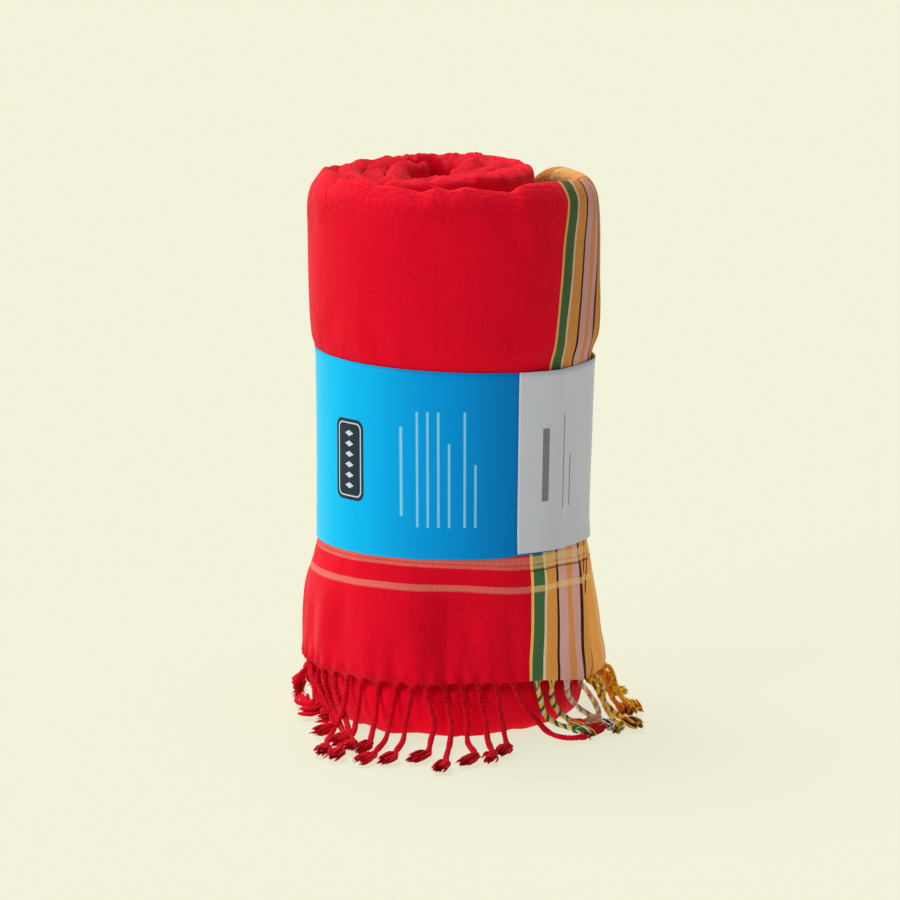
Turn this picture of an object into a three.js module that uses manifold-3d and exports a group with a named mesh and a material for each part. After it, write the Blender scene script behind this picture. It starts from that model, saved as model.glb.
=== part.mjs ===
// A kikoy: a striped cotton wrap with a tasselled hem, folded in half three times, rolled up,
// stood on its end and held shut by a paper band.
// Millimetres, +Z up. The roll's axis is Z, it stands on z = 0 and its front is towards -Y.
// An azimuth is in degrees round that axis, 0 at the front and growing towards +X.
import * as THREE from "three";
import { mergeVertices } from "three/addons/utils/BufferGeometryUtils.js";
import Module from "manifold-3d";

const wasm = await Module();
wasm.setup();

// ---- Driving dimensions ----
const CLOTH_WALL = 1.5; // the outermost layer of cloth
const SEAM_GAP = 0.3; // between one piece and the next
const EDGE_GAP = 0.42; // between field and border along their leaning seam
const LAYER_GAP = 0.7; // between the outermost layer and those under it
const BUNDLE = 9.8; // eight layers of cloth, folded together
const TURN_PITCH = 9.3; // from one turn of the roll to the next
const TURN_WALL = 8.8; // a turn inside the roll, pressed a little
const FREE_END = 143; // azimuth of the free end, the selvedge side
const TURN = 360; // degrees wound in one turn
const ROLL_CENTRE = { x: -6.5, y: 4 }; // the inner turns lie to the back left of the axis
const LOOSEN = { from: 325, to: 420 }; // degrees wound over which the turns close on that centre
const FOLD_RISE = 7; // height of the rounded fold along the top
const TURN_IN = 11; // how far the outermost layer is built down inside that fold
const HEM = 21; // height of the fringed hem of the outermost layer
const BAND = { bottom: 67.8, top: 139.2, tilt: 2, paper: 0.6, lap: 0.5, clear: 0.55 };
const BAND_LAP = { from: 28, to: 52 }; // azimuths of the glued lap
const STRIP = 2.4; // height of the strip that the tassels hang from
const CORD = 1.9; // thickness of a tassel
const FLOOR_GAP = 0.3; // the tassels lie this far over the floor
const SHEET_STEP = 10; // degrees from one section of a wall to the next

// Radius of the outer face against the degrees wound in from the free end. Each turn after the
// last row lies one pitch inside the one before.
const WRAP = [
  { wound: 0, radius: 53.4 },
  { wound: 20, radius: 55.4 },
  { wound: 53, radius: 56.3 },
  { wound: 98, radius: 56 },
  { wound: 143, radius: 54.9 },
  { wound: 188, radius: 54.6 },
  { wound: 233, radius: 54.9 },
  { wound: 278, radius: 54.8 },
  { wound: 308, radius: 54.6 },
  { wound: 330, radius: 51.8 },
  { wound: 345, radius: 47.6 },
  { wound: 360, radius: 43.6 },
  { wound: 380, radius: 40.3 },
  { wound: 413, radius: 37 },
  { wound: 458, radius: 36 },
  { wound: 503, radius: 37.8 },
  { wound: 548, radius: 40.2 },
  { wound: 593, radius: 37.2 },
  { wound: 638, radius: 36.3 },
  { wound: 683, radius: 35.2 },
  { wound: 728, radius: 31.2 },
  { wound: 773, radius: 27.7 },
];
// How far the outer face stands in or out at each height: drawn in by the band, flared at the hem.
const SQUEEZE = [
  { z: 0, left: 2.6, right: 2.3 },
  { z: 20, left: 2.6, right: 2.1 },
  { z: 29, left: 2.4, right: 0.2 },
  { z: 41, left: 2, right: -1.4 },
  { z: 50, left: 1.4, right: -2.7 },
  { z: 60, left: -0.9, right: -3.7 },
  { z: 67, left: -3, right: -4.9 },
  { z: 76, left: -3.2, right: -5.4 },
  { z: 104, left: -3.3, right: -4.6 },
  { z: 134, left: -3.1, right: -3.6 },
  { z: 140, left: -2.9, right: -2.9 },
  { z: 146, left: -1.5, right: -1 },
  { z: 155, left: -0.8, right: -0.4 },
  { z: 172, left: -0.3, right: -0.1 },
  { z: 190, left: 0, right: 0 },
];
// Height of the folded top edge along the outer turn.
const OUTER_CREST = [
  { wound: 0, z: 198 },
  { wound: 8, z: 203 },
  { wound: 18, z: 205.4 },
  { wound: 53, z: 207.2 },
  { wound: 83, z: 207.8 },
  { wound: 112, z: 207.9 },
  { wound: 118, z: 206.2 },
  { wound: 130, z: 206.9 },
  { wound: 137, z: 207.8 },
  { wound: 145, z: 207.2 },
  { wound: 150, z: 208.1 },
  { wound: 157, z: 206.6 },
  { wound: 166, z: 207.3 },
  { wound: 185, z: 208 },
  { wound: 233, z: 208.4 },
  { wound: 277, z: 206.4 },
  { wound: 307, z: 207.6 },
  { wound: 323, z: 208 },
  { wound: 360, z: 208 },
];
// Height of the folded top edge along the inner turns.
const INNER_CREST = [
  { wound: 360, z: 207.4 },
  { wound: 413, z: 208 },
  { wound: 455, z: 209.6 },
  { wound: 490, z: 208.8 },
  { wound: 540, z: 207.4 },
  { wound: 590, z: 208.4 },
  { wound: 650, z: 209 },
  { wound: 720, z: 209.4 },
  { wound: 790, z: 209.8 },
  { wound: 860, z: 208.6 },
  { wound: 930, z: 207.6 },
  { wound: 1010, z: 209.6 },
  { wound: 1080, z: 210 },
  { wound: 1150, z: 209.8 },
  { wound: 1230, z: 207.4 },
  { wound: 1330, z: 209 },
  { wound: 1440, z: 210 },
];
// How far the folded layers bulge, at each height, over the radius that their foot stands on.
const FOOT = [
  { z: 0, bulge: 0 },
  { z: 1.5, bulge: 1.5 },
  { z: 4, bulge: 2.9 },
  { z: 9, bulge: 4 },
  { z: 20, bulge: 5 },
  { z: 40, bulge: 7.4 },
];
const FOOT_INSET = { left: 6.9, right: 7.6 }; // from the outer face to where the foot stands
// Azimuth at which the striped border starts: the roll's threads lean a little.
const BORDER_START = [
  { z: 20, azimuth: 30 },
  { z: 37, azimuth: 30 },
  { z: 52, azimuth: 32 },
  { z: 67, azimuth: 34.4 },
  { z: 137, azimuth: 42.6 },
  { z: 171, azimuth: 43.6 },
  { z: 191, azimuth: 45.6 },
  { z: 205, azimuth: 49.5 },
];
// Heights of the rows of points up the outermost layer, between its hem and its folded top.
const SHEET_ROWS = [32, 48, 59, 67, 76, 134, 141, 148, 160, 178];
const FOLD_ANGLES = [0, 35, 70, 105, 140, 180];
// The layers inside the outer turn end in steps at the free end.
const LAYER_STEPS = [
  { wound: 0.4, share: 0.3 },
  { wound: 1.6, share: 0.3 },
  { wound: 2, share: 0.62 },
  { wound: 3.2, share: 0.62 },
  { wound: 3.6, share: 1 },
];
// Tassels that hang on the field, azimuths of root and tip, and how far out the tip lies.
const FIELD_TASSELS = [
  { root: 24.5, bend: 31, tip: 40, reach: 84 },
  { root: 18, bend: 18, tip: 12, reach: 91 },
  { root: 11, bend: 12, tip: 8.4, reach: 101 },
  { root: 4, bend: 5.5, tip: 4.6, reach: 101 },
  { root: -3.5, bend: -0.5, tip: -1.5, reach: 112 },
  { root: -10.5, bend: -6.5, tip: -7, reach: 96 },
  { root: -16, bend: -17, tip: -12.6, reach: 99 },
  { root: -23, bend: -23, tip: -17, reach: 102 },
  { root: -31, bend: -29, tip: -20.5, reach: 84 },
  { root: -39, bend: -37, tip: -23, reach: 98 },
  { root: -47, bend: -44, tip: -28, reach: 97 },
  { root: -54.5, bend: -51, tip: -33, reach: 88 },
  { root: -62, bend: -59, tip: -41, reach: 79 },
  { root: -70, bend: -68, tip: -52, reach: 71 },
  { root: -78, bend: -77, tip: -65, reach: 67 },
  { root: -86, bend: -87, tip: -84, reach: 63.5 },
  { root: -94.5, bend: -96, tip: -98, reach: 67 },
  { root: -103, bend: -104, tip: -109, reach: 72 },
  { root: -111.5, bend: -113, tip: -118, reach: 79 },
  { root: -120, bend: -121, tip: -124, reach: 74 },
  { root: -128, bend: -130, tip: -133, reach: 82 },
  { root: -136.5, bend: -136, tip: -140, reach: 77 },
  { root: -145, bend: -147, tip: -151, reach: 84 },
  { root: -153, bend: -154, tip: -158, reach: 75 },
  { root: -161.5, bend: -163, tip: -165, reach: 81 },
  { root: -170, bend: -170, tip: -174, reach: 84 },
  { root: -178.5, bend: -180, tip: -182, reach: 78 },
];
// Tassels that hang on the border.
const BORDER_TASSELS = [
  { root: 34, bend: 37.5, tip: 44.5, reach: 77 },
  { root: 41, bend: 44, tip: 48, reach: 71 },
  { root: 48.5, bend: 51, tip: 52, reach: 82.5 },
  { root: 56, bend: 58, tip: 57.5, reach: 84 },
  { root: 64, bend: 66, tip: 65, reach: 75 },
  { root: 72, bend: 74, tip: 75, reach: 72.5 },
  { root: 80, bend: 82, tip: 86, reach: 76 },
  { root: 88, bend: 89, tip: 94, reach: 72 },
  { root: 96, bend: 98, tip: 103, reach: 78 },
  { root: 104.5, bend: 106, tip: 111, reach: 75 },
  { root: 113, bend: 114, tip: 118, reach: 80 },
  { root: 121.5, bend: 123, tip: 128, reach: 76 },
  { root: 130, bend: 132, tip: 137, reach: 81 },
  { root: 138, bend: 141, tip: 146, reach: 77 },
];
const TASSEL_BEND = { radius: 60.2, clear: 2, z: 7 }; // where a tassel turns from hanging to lying
// Shares of the way from bend to tip, round the roll and out from it, and the height over lying.
const TASSEL_LIE = [
  { round: 0.25, out: 0.22, rise: 0.6 },
  { round: 0.6, out: 0.6, rise: 0 },
  { round: 1, out: 1, rise: 0 },
];
const TASSEL_STEPS = 8;
const KNOT = { at: 0.72, reach: 0.09, swell: 0.75 }; // shares of a tassel's length and thickness
const TUFT_SWELL = 0.35;

// ---- Reading the tables ----
const radians = THREE.MathUtils.degToRad;
const mix = THREE.MathUtils.lerp;

// A column of a table at x, as a smooth curve through the table's rows.
function lookUp(table, key, column, x) {
  const last = table.length - 1;
  if (x <= table[0][key]) return table[0][column];
  if (x >= table[last][key]) return table[last][column];
  const i = table.findIndex((row) => row[key] > x) - 1;
  const [a, b] = [table[i], table[i + 1]];
  const before = table[Math.max(i - 1, 0)];
  const after = table[Math.min(i + 2, last)];
  const span = b[key] - a[key];
  const t = (x - a[key]) / span;
  const leave = ((b[column] - before[column]) / (b[key] - before[key])) * span;
  const arrive = ((after[column] - a[column]) / (after[key] - a[key])) * span;
  const [t2, t3] = [t * t, t * t * t];
  return (
    (2 * t3 - 3 * t2 + 1) * a[column] +
    (t3 - 2 * t2 + t) * leave +
    (3 * t2 - 2 * t3) * b[column] +
    (t3 - t2) * arrive
  );
}

const azimuthOf = (wound) => FREE_END - wound;
const woundAt = (azimuth) => FREE_END - azimuth;

// Distance from the turn's own centre to its outer face, with no squeeze.
function wrapRadius(wound) {
  const last = WRAP[WRAP.length - 1].wound;
  const turnsIn = Math.max(0, Math.ceil((wound - last) / TURN));
  return lookUp(WRAP, "wound", "radius", wound - turnsIn * TURN) - turnsIn * TURN_PITCH;
}

// A share of 0 to 1 that grows from the left side of the roll to the right.
const rightShare = (wound) => (1 + Math.sin(radians(azimuthOf(wound)))) / 2;

function faceRadius(wound, z) {
  const left = lookUp(SQUEEZE, "z", "left", z);
  const right = lookUp(SQUEEZE, "z", "right", z);
  return wrapRadius(wound) + mix(left, right, rightShare(wound));
}

// A point of the roll: so far wound in, at this radius from the turn's centre and this height.
function rollPoint(wound, radius, z) {
  const share = THREE.MathUtils.smoothstep(wound, LOOSEN.from, LOOSEN.to);
  const angle = radians(azimuthOf(wound));
  return new THREE.Vector3(
    share * ROLL_CENTRE.x + radius * Math.sin(angle),
    share * ROLL_CENTRE.y - radius * Math.cos(angle),
    z,
  );
}

function crestHeight(wound) {
  const table = wound <= TURN ? OUTER_CREST : INNER_CREST;
  return lookUp(table, "wound", "z", wound);
}

// ---- Closed solids from rings of points ----
function signedVolume(triangles) {
  let sum = 0;
  for (const [a, b, c] of triangles) sum += a.dot(b.clone().cross(c));
  return sum / 6;
}

// Rings of equally many points, joined one to the next. The last ring joins the first if the
// solid is closed, and otherwise both ends are capped.
function solidFromRings(rings, { closed = false, cap = flatCap } = {}) {
  const triangles = [];
  const spans = closed ? rings.length : rings.length - 1;
  for (let i = 0; i < spans; i++) {
    const a = rings[i];
    const b = rings[(i + 1) % rings.length];
    for (let j = 0; j < a.length; j++) {
      const k = (j + 1) % a.length;
      triangles.push([a[j], b[j], b[k]], [a[j], b[k], a[k]]);
    }
  }
  if (!closed) {
    const first = rings[0];
    const last = rings[rings.length - 1];
    for (const [i, j, k] of cap(first)) triangles.push([first[i], first[j], first[k]]);
    for (const [i, j, k] of cap(last)) triangles.push([last[k], last[j], last[i]]);
  }
  const outward = signedVolume(triangles) > 0;
  const whole = triangles.filter(([a, b, c]) => {
    return b.clone().sub(a).cross(c.clone().sub(a)).length() > 1e-7;
  });
  const points = whole.flatMap(([a, b, c]) => (outward ? [a, b, c] : [a, c, b]));
  return new THREE.BufferGeometry().setFromPoints(points);
}

// The cap of a thin wall, whose ring runs up one side and back down the other.
function wallCap(ring) {
  const triangles = [];
  for (let i = 0, j = ring.length - 1; i + 1 < j; i++, j--) {
    triangles.push([i, i + 1, j]);
    if (i + 1 < j - 1) triangles.push([i + 1, j - 1, j]);
  }
  return triangles;
}

// The cap of a flat ring, as indices that run the ring's own way round.
function flatCap(ring) {
  const origin = ring[0];
  const spread = ring.map((p) => p.clone().sub(origin));
  const long = spread.reduce((best, p) => (p.length() > best.length() ? p : best));
  const across = long.clone().normalize();
  const beside = spread
    .map((p) => p.clone().addScaledVector(across, -p.dot(across)))
    .reduce((best, p) => (p.length() > best.length() ? p : best))
    .normalize();
  const flat = spread.map((p) => new THREE.Vector2(p.dot(across), p.dot(beside)));
  const clockwise = THREE.ShapeUtils.area(flat) < 0;
  const faces = THREE.ShapeUtils.triangulateShape(flat, []);
  return faces.map(([i, j, k]) => {
    const turned = orientation(flat[i], flat[j], flat[k]) < 0;
    return turned === clockwise ? [i, j, k] : [i, k, j];
  });
}

const orientation = (a, b, c) => (b.x - a.x) * (c.y - a.y) - (c.x - a.x) * (b.y - a.y);

function toManifold(geometry) {
  const bare = new THREE.BufferGeometry();
  bare.setAttribute("position", geometry.getAttribute("position"));
  const merged = mergeVertices(bare, 1e-4);
  return new wasm.Manifold(
    new wasm.Mesh({
      numProp: 3,
      vertProperties: merged.attributes.position.array,
      triVerts: new Uint32Array(merged.index.array),
    }),
  );
}

function fromManifold(solid) {
  const mesh = solid.getMesh();
  const geometry = new THREE.BufferGeometry();
  geometry.setAttribute("position", new THREE.BufferAttribute(mesh.vertProperties, 3));
  geometry.setIndex(new THREE.BufferAttribute(mesh.triVerts, 1));
  return geometry;
}

// ---- The outer turn ----
// Rows of the outermost layer's outer face from hem to turned-in edge. Each row gives its radius
// for the degrees wound, its height, and the way out of the cloth.
function sheetRows(wound) {
  const shoulder = crestHeight(wound) - FOLD_RISE;
  const rows = [HEM, ...SHEET_ROWS].map((z) => {
    return { z, radius: faceRadius(wound, z), out: 1, up: 0 };
  });
  const middle = wrapRadius(wound) - BUNDLE / 2;
  for (const angle of FOLD_ANGLES) {
    const out = Math.cos(radians(angle));
    const up = Math.sin(radians(angle));
    const radius = middle + (BUNDLE / 2) * out;
    rows.push({ z: shoulder + FOLD_RISE * up, radius, out, up });
  }
  const inside = middle - BUNDLE / 2;
  rows.push({ z: shoulder - TURN_IN + FOLD_RISE, radius: inside, out: -1, up: 0 });
  return rows;
}

// One section of the outermost layer. woundOn gives the degrees wound for each height, because
// the edge of the border leans.
function sheetSection(woundOn) {
  const outside = [];
  const inside = [];
  const count = sheetRows(0).length;
  for (let i = 0; i < count; i++) {
    const guess = sheetRows(woundOn(HEM))[i];
    const wound = woundOn(guess.z);
    const row = sheetRows(wound)[i];
    outside.push(rollPoint(wound, row.radius, row.z));
    const radius = row.radius - CLOTH_WALL * row.out;
    inside.push(rollPoint(wound, radius, row.z - CLOTH_WALL * row.up));
  }
  return [...outside, ...inside.reverse()];
}

// A stretch of the outermost layer between two leaning edges.
function outerSheet(fromOn, toOn) {
  const steps = Math.ceil((toOn(HEM) - fromOn(HEM)) / SHEET_STEP);
  const sections = [];
  for (let i = 0; i <= steps; i++) {
    const share = i / steps;
    sections.push(sheetSection((z) => mix(fromOn(z), toOn(z), share)));
  }
  return solidFromRings(sections, { cap: wallCap });
}

const halfSeam = THREE.MathUtils.radToDeg(EDGE_GAP / 2 / WRAP[0].radius);
const seamOn = (z) => woundAt(lookUp(BORDER_START, "z", "azimuth", z));
const borderEdge = (z) => seamOn(z) - halfSeam;
const fieldEdge = (z) => seamOn(z) + halfSeam;

// The folded layers under the outermost one: a thick wall that stands on the floor.
const LAYER_ROWS = [0, 1.5, 4, 9, 20, 40, 59, 67, 76, 134, 141, 148, 160, 178];
const CREST_SLACK = 1.6; // room under the outermost layer's top fold
const INNER_LEG = 186; // the wall steps out here to its full thickness
const INNER_ROWS = [141, 76, 48, 20, 0];
const INNER_BELLY = 0.2; // the wall's inner face bellies in by this much

function layersSection(wound, share) {
  const cover = CLOTH_WALL + LAYER_GAP;
  const shoulder = crestHeight(wound) - FOLD_RISE - CREST_SLACK;
  const wrap = wrapRadius(wound);
  const inner = wrap - BUNDLE + SEAM_GAP;
  const foot = wrap - mix(FOOT_INSET.left, FOOT_INSET.right, rightShare(wound));
  const profile = LAYER_ROWS.map((z) => {
    const behind = faceRadius(wound, z) - cover;
    const stood = foot + lookUp(FOOT, "z", "bulge", z);
    return [Math.min(behind, stood), z];
  });
  const middle = wrap - BUNDLE / 2;
  for (const angle of FOLD_ANGLES) {
    const out = (BUNDLE / 2 - cover) * Math.cos(radians(angle));
    profile.push([middle + out, shoulder + (FOLD_RISE - cover) * Math.sin(radians(angle))]);
  }
  profile.push([middle - BUNDLE / 2 + cover, INNER_LEG]);
  for (const z of [INNER_LEG - cover, ...INNER_ROWS]) {
    profile.push([inner - INNER_BELLY * Math.sin((Math.PI * z) / INNER_LEG), z]);
  }
  return profile.map(([radius, z]) => {
    const outer = faceRadius(wound, z) - cover;
    return rollPoint(wound, mix(Math.min(outer, middle + BUNDLE / 2 - cover), radius, share), z);
  });
}

function outerLayers() {
  const sections = LAYER_STEPS.map((step) => layersSection(step.wound, step.share));
  const start = LAYER_STEPS[LAYER_STEPS.length - 1].wound;
  const steps = Math.ceil((TURN - start) / SHEET_STEP);
  for (let i = 1; i <= steps; i++) {
    sections.push(layersSection(mix(start, TURN, i / steps), 1));
  }
  return solidFromRings(sections);
}

// ---- The inner turns ----
const TURN_STEP = 10;
const TURN_GAP = 0.5; // where one turn's solid goes on as the next
const TURN_FOOT = 1.4; // rounding where a turn stands on the floor
const TURN_FOLD_ANGLES = [0, 30, 60, 90, 120, 150, 180];

function turnSection(wound) {
  const outer = wrapRadius(wound);
  const inner = outer - TURN_WALL;
  const shoulder = crestHeight(wound) - FOLD_RISE;
  const profile = [
    [outer - TURN_FOOT, 0],
    [outer, TURN_FOOT],
  ];
  for (const angle of TURN_FOLD_ANGLES) {
    const out = (TURN_WALL / 2) * Math.cos(radians(angle));
    profile.push([(outer + inner) / 2 + out, shoulder + FOLD_RISE * Math.sin(radians(angle))]);
  }
  profile.push([inner, TURN_FOOT], [inner + TURN_FOOT, 0]);
  return profile.map(([radius, z]) => rollPoint(wound, radius, z));
}

function innerTurn(number) {
  const start = TURN * (number - 1);
  const gap = THREE.MathUtils.radToDeg(TURN_GAP / wrapRadius(start));
  const steps = Math.ceil(TURN / TURN_STEP);
  const sections = [];
  for (let i = 0; i <= steps; i++) {
    sections.push(turnSection(mix(start + gap, start + TURN, i / steps)));
  }
  return solidFromRings(sections);
}

// The middle of the roll: its last layers as one solid, a spiral step on its side, a groove
// between two turns on top and a pit where the roll began.
const CORE_START = 3 * TURN;
const CORE_STEP = 12;
const CORE_PIT = { radius: 4.2, depth: 13 };
const GROOVE = 4.5;

function coreSection(wound) {
  const outer = wrapRadius(wound);
  const groove = outer - TURN_WALL;
  const crest = crestHeight(wound);
  const shoulder = crest - FOLD_RISE;
  const profile = [
    [0, 0],
    [outer - TURN_FOOT, 0],
    [outer, TURN_FOOT],
  ];
  for (const angle of [0, 35, 65, 90]) {
    const out = (TURN_WALL / 2) * Math.cos(radians(angle));
    profile.push([outer - TURN_WALL / 2 + out, shoulder + FOLD_RISE * Math.sin(radians(angle))]);
  }
  profile.push([groove, crest - GROOVE]);
  profile.push([mix(groove, CORE_PIT.radius, 0.5), crest - 1]);
  profile.push([CORE_PIT.radius, crest - GROOVE]);
  profile.push([CORE_PIT.radius * 0.7, crest - CORE_PIT.depth]);
  profile.push([0, crestHeight(CORE_START) - CORE_PIT.depth]);
  return profile.map(([radius, z]) => rollPoint(wound, radius, z));
}

function core() {
  const steps = TURN / CORE_STEP;
  const gap = THREE.MathUtils.radToDeg(TURN_GAP / wrapRadius(CORE_START + TURN));
  const sections = [];
  for (let i = 0; i <= steps; i++) {
    const wound = mix(CORE_START + gap, CORE_START + TURN + gap / 2, i / steps);
    sections.push(coreSection(wound));
  }
  return solidFromRings(sections, { closed: true });
}

// ---- The paper band ----
const BAND_STEP = 6;
const BRIDGE = { from: FREE_END, to: 190 }; // it spans the step behind the free end

function bandInside(azimuth, z) {
  const radiusAt = (a) => {
    const wound = (woundAt(a) + TURN) % TURN;
    return faceRadius(wound, z) + BAND.clear;
  };
  const a = ((azimuth % TURN) + TURN) % TURN;
  if (a > BRIDGE.from && a < BRIDGE.to) {
    const share = (a - BRIDGE.from) / (BRIDGE.to - BRIDGE.from);
    return mix(radiusAt(BRIDGE.from), radiusAt(BRIDGE.to), share);
  }
  return radiusAt(a);
}

function bandSection(azimuth, thickness) {
  const lean = BAND.tilt * Math.sin(radians(azimuth));
  const profile = [];
  const heights = [BAND.bottom, 76, 134, BAND.top - lean];
  for (const z of heights) profile.push([bandInside(azimuth, z), z]);
  for (const z of [...heights].reverse()) {
    profile.push([bandInside(azimuth, z) + thickness, z]);
  }
  const angle = radians(azimuth);
  return profile.map(([radius, z]) => {
    return new THREE.Vector3(radius * Math.sin(angle), -radius * Math.cos(angle), z);
  });
}

function paperBand() {
  const sections = [];
  const step = 0.3; // degrees over which the lap's edge rises
  const lapped = BAND.paper + BAND.lap;
  const around = TURN - (BAND_LAP.to - BAND_LAP.from);
  for (let a = BAND_LAP.from; a < BAND_LAP.to; a += BAND_STEP) {
    sections.push(bandSection(a, lapped));
  }
  sections.push(bandSection(BAND_LAP.to - step, lapped));
  for (let a = 0; a < around - step; a += BAND_STEP) {
    sections.push(bandSection(BAND_LAP.to + a, BAND.paper));
  }
  sections.push(bandSection(BAND_LAP.from - step, BAND.paper));
  return solidFromRings(sections, { closed: true });
}

// ---- The fringe ----
function hemRadius(azimuth) {
  return faceRadius(woundAt(azimuth), HEM);
}

// The narrow strip below the hem, 0.3 mm clear of the cloth's edge.
function hemStrip(fromWound, toWound) {
  const steps = Math.ceil((toWound - fromWound) / SHEET_STEP);
  const sections = [];
  for (let i = 0; i <= steps; i++) {
    const wound = mix(fromWound, toWound, i / steps);
    const radius = faceRadius(wound, HEM);
    const top = HEM - SEAM_GAP;
    const corners = [
      [radius, top - STRIP],
      [radius, top],
      [radius - CLOTH_WALL, top],
      [radius - CLOTH_WALL, top - STRIP],
    ];
    sections.push(corners.map(([r, z]) => rollPoint(wound, r, z)));
  }
  return solidFromRings(sections);
}

// The middle line of a tassel: down from the strip, then out along the floor.
function tasselCurve({ root, bend, tip, reach }) {
  const lie = FLOOR_GAP + CORD;
  const hang = hemRadius(root) - CLOTH_WALL / 2;
  const bendRadius = Math.max(TASSEL_BEND.radius, hang + TASSEL_BEND.clear);
  const place = (azimuth, radius, z) => {
    const angle = radians(azimuth);
    return new THREE.Vector3(radius * Math.sin(angle), -radius * Math.cos(angle), z);
  };
  return new THREE.CatmullRomCurve3([
    place(root, hang, HEM - SEAM_GAP - STRIP / 2),
    place(mix(root, bend, 0.4), mix(hang, bendRadius, 0.3), mix(HEM, TASSEL_BEND.z, 0.5)),
    place(bend, bendRadius, TASSEL_BEND.z),
    ...TASSEL_LIE.map(({ round, out, rise }) => {
      return place(mix(bend, tip, round), mix(bendRadius, reach, out), lie + rise);
    }),
  ]);
}

// A tassel: four-sided, with a knot and then a loose tuft.
function tassel(row) {
  const curve = tasselCurve(row);
  const frames = curve.computeFrenetFrames(TASSEL_STEPS, false);
  const rings = [];
  for (let i = 0; i <= TASSEL_STEPS; i++) {
    const t = i / TASSEL_STEPS;
    const knot = Math.max(0, 1 - Math.abs(t - KNOT.at) / KNOT.reach) * KNOT.swell;
    const tuft = (Math.max(0, t - KNOT.at) / (1 - KNOT.at)) * TUFT_SWELL;
    const half = (CORD / 2) * (1 + knot + tuft);
    const centre = curve.getPointAt(t);
    centre.z = Math.max(centre.z, FLOOR_GAP + half * Math.SQRT2);
    const side = frames.normals[i].clone().multiplyScalar(half);
    const other = frames.binormals[i].clone().multiplyScalar(half);
    rings.push([
      centre.clone().add(side).add(other),
      centre.clone().sub(side).add(other),
      centre.clone().sub(side).sub(other),
      centre.clone().add(side).sub(other),
    ]);
  }
  return solidFromRings(rings);
}

function fringe(fromWound, toWound, tassels) {
  let solid = toManifold(hemStrip(fromWound, toWound));
  for (const row of tassels) solid = solid.add(toManifold(tassel(row)));
  return fromManifold(solid);
}

// ---- Materials and the part ----
const cloth = (color) => new THREE.MeshStandardMaterial({ color, roughness: 0.9, metalness: 0 });
const red = cloth(0xc4102a);
const orange = cloth(0xc38737);
const paper = new THREE.MeshStandardMaterial({ color: 0x0a93d0, roughness: 0.45, metalness: 0 });

const kikoy = new THREE.Group();
function addPiece(name, geometry, material) {
  geometry.computeVertexNormals();
  const mesh = new THREE.Mesh(geometry, material);
  mesh.name = name;
  kikoy.add(mesh);
}

const hemSeam = seamOn(HEM);
const TUCKED_UNDER = 326; // the fringe ends where the cloth passes under the free end
addPiece("outer_border", outerSheet(() => 0, borderEdge), orange);
addPiece("outer_field", outerSheet(fieldEdge, () => TURN), red);
addPiece("outer_layers", outerLayers(), red);
addPiece("inner_turn_2", innerTurn(2), red);
addPiece("inner_turn_3", innerTurn(3), red);
addPiece("inner_core", core(), red);
addPiece("fringe_border", fringe(0, hemSeam - halfSeam, BORDER_TASSELS), orange);
addPiece("fringe_field", fringe(hemSeam + halfSeam, TUCKED_UNDER, FIELD_TASSELS), red);
addPiece("paper_band", paperBand(), paper);

export default kikoy;
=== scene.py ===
"""A rolled kikoy: red cotton with a striped border and a tasselled hem, held by a paper band.

Sizes are in millimetres until a mesh is made, with +Z up and the front towards -Y. An azimuth is
in degrees from the front towards +X. "wound" is degrees wound in from the free end, and
"azimuth = FREE_END - wound".
"""

import math

import bpy
import numpy as np
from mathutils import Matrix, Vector


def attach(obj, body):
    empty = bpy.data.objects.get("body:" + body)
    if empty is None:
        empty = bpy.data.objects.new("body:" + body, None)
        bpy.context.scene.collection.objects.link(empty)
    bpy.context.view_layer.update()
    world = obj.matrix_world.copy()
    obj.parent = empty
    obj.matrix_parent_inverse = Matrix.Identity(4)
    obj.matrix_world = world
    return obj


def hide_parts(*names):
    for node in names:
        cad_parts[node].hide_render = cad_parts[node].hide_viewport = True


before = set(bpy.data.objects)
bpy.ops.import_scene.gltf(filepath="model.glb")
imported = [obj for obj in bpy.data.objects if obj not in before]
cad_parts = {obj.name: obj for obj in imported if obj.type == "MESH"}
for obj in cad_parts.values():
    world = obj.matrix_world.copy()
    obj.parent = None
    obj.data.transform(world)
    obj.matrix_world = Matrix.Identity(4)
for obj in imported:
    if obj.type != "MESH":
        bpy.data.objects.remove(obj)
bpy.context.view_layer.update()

# ---- Sizes shared with the solid model ----
BUNDLE = 9.8  # eight layers of cloth, folded together
TURN_PITCH = 9.3
FREE_END = 143
TURN = 360
ROLL_CENTRE = (-6.5, 4)
LOOSEN = (325, 420)
FOLD_RISE = 7
HEM = 21
BAND_BOTTOM, BAND_TOP, BAND_TILT, BAND_CLEAR = 67.8, 139.2, 2, 0.55
BAND_LAP = (28, 52)
BAND_RADIUS = 51  # turns the paper's azimuths into mm along it
ALONG_RADIUS = 55  # turns degrees wound into mm along the outer turn
AZIMUTH_FROM = -190  # the tables' azimuths start near here
BRIDGE = (FREE_END, 190)
WRAP = [
    (0, 53.4), (20, 55.4), (53, 56.3), (98, 56), (143, 54.9), (188, 54.6), (233, 54.9),
    (278, 54.8), (308, 54.6), (330, 51.8), (345, 47.6), (360, 43.6), (380, 40.3), (413, 37),
    (458, 36), (503, 37.8), (548, 40.2), (593, 37.2), (638, 36.3), (683, 35.2), (728, 31.2),
    (773, 27.7),
]
SQUEEZE_LEFT = [
    (0, 2.6), (20, 2.6), (29, 2.4), (41, 2), (50, 1.4), (60, -0.9), (67, -3), (76, -3.2),
    (104, -3.3), (134, -3.1), (140, -2.9), (146, -1.5), (155, -0.8), (172, -0.3), (190, 0),
]
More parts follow.
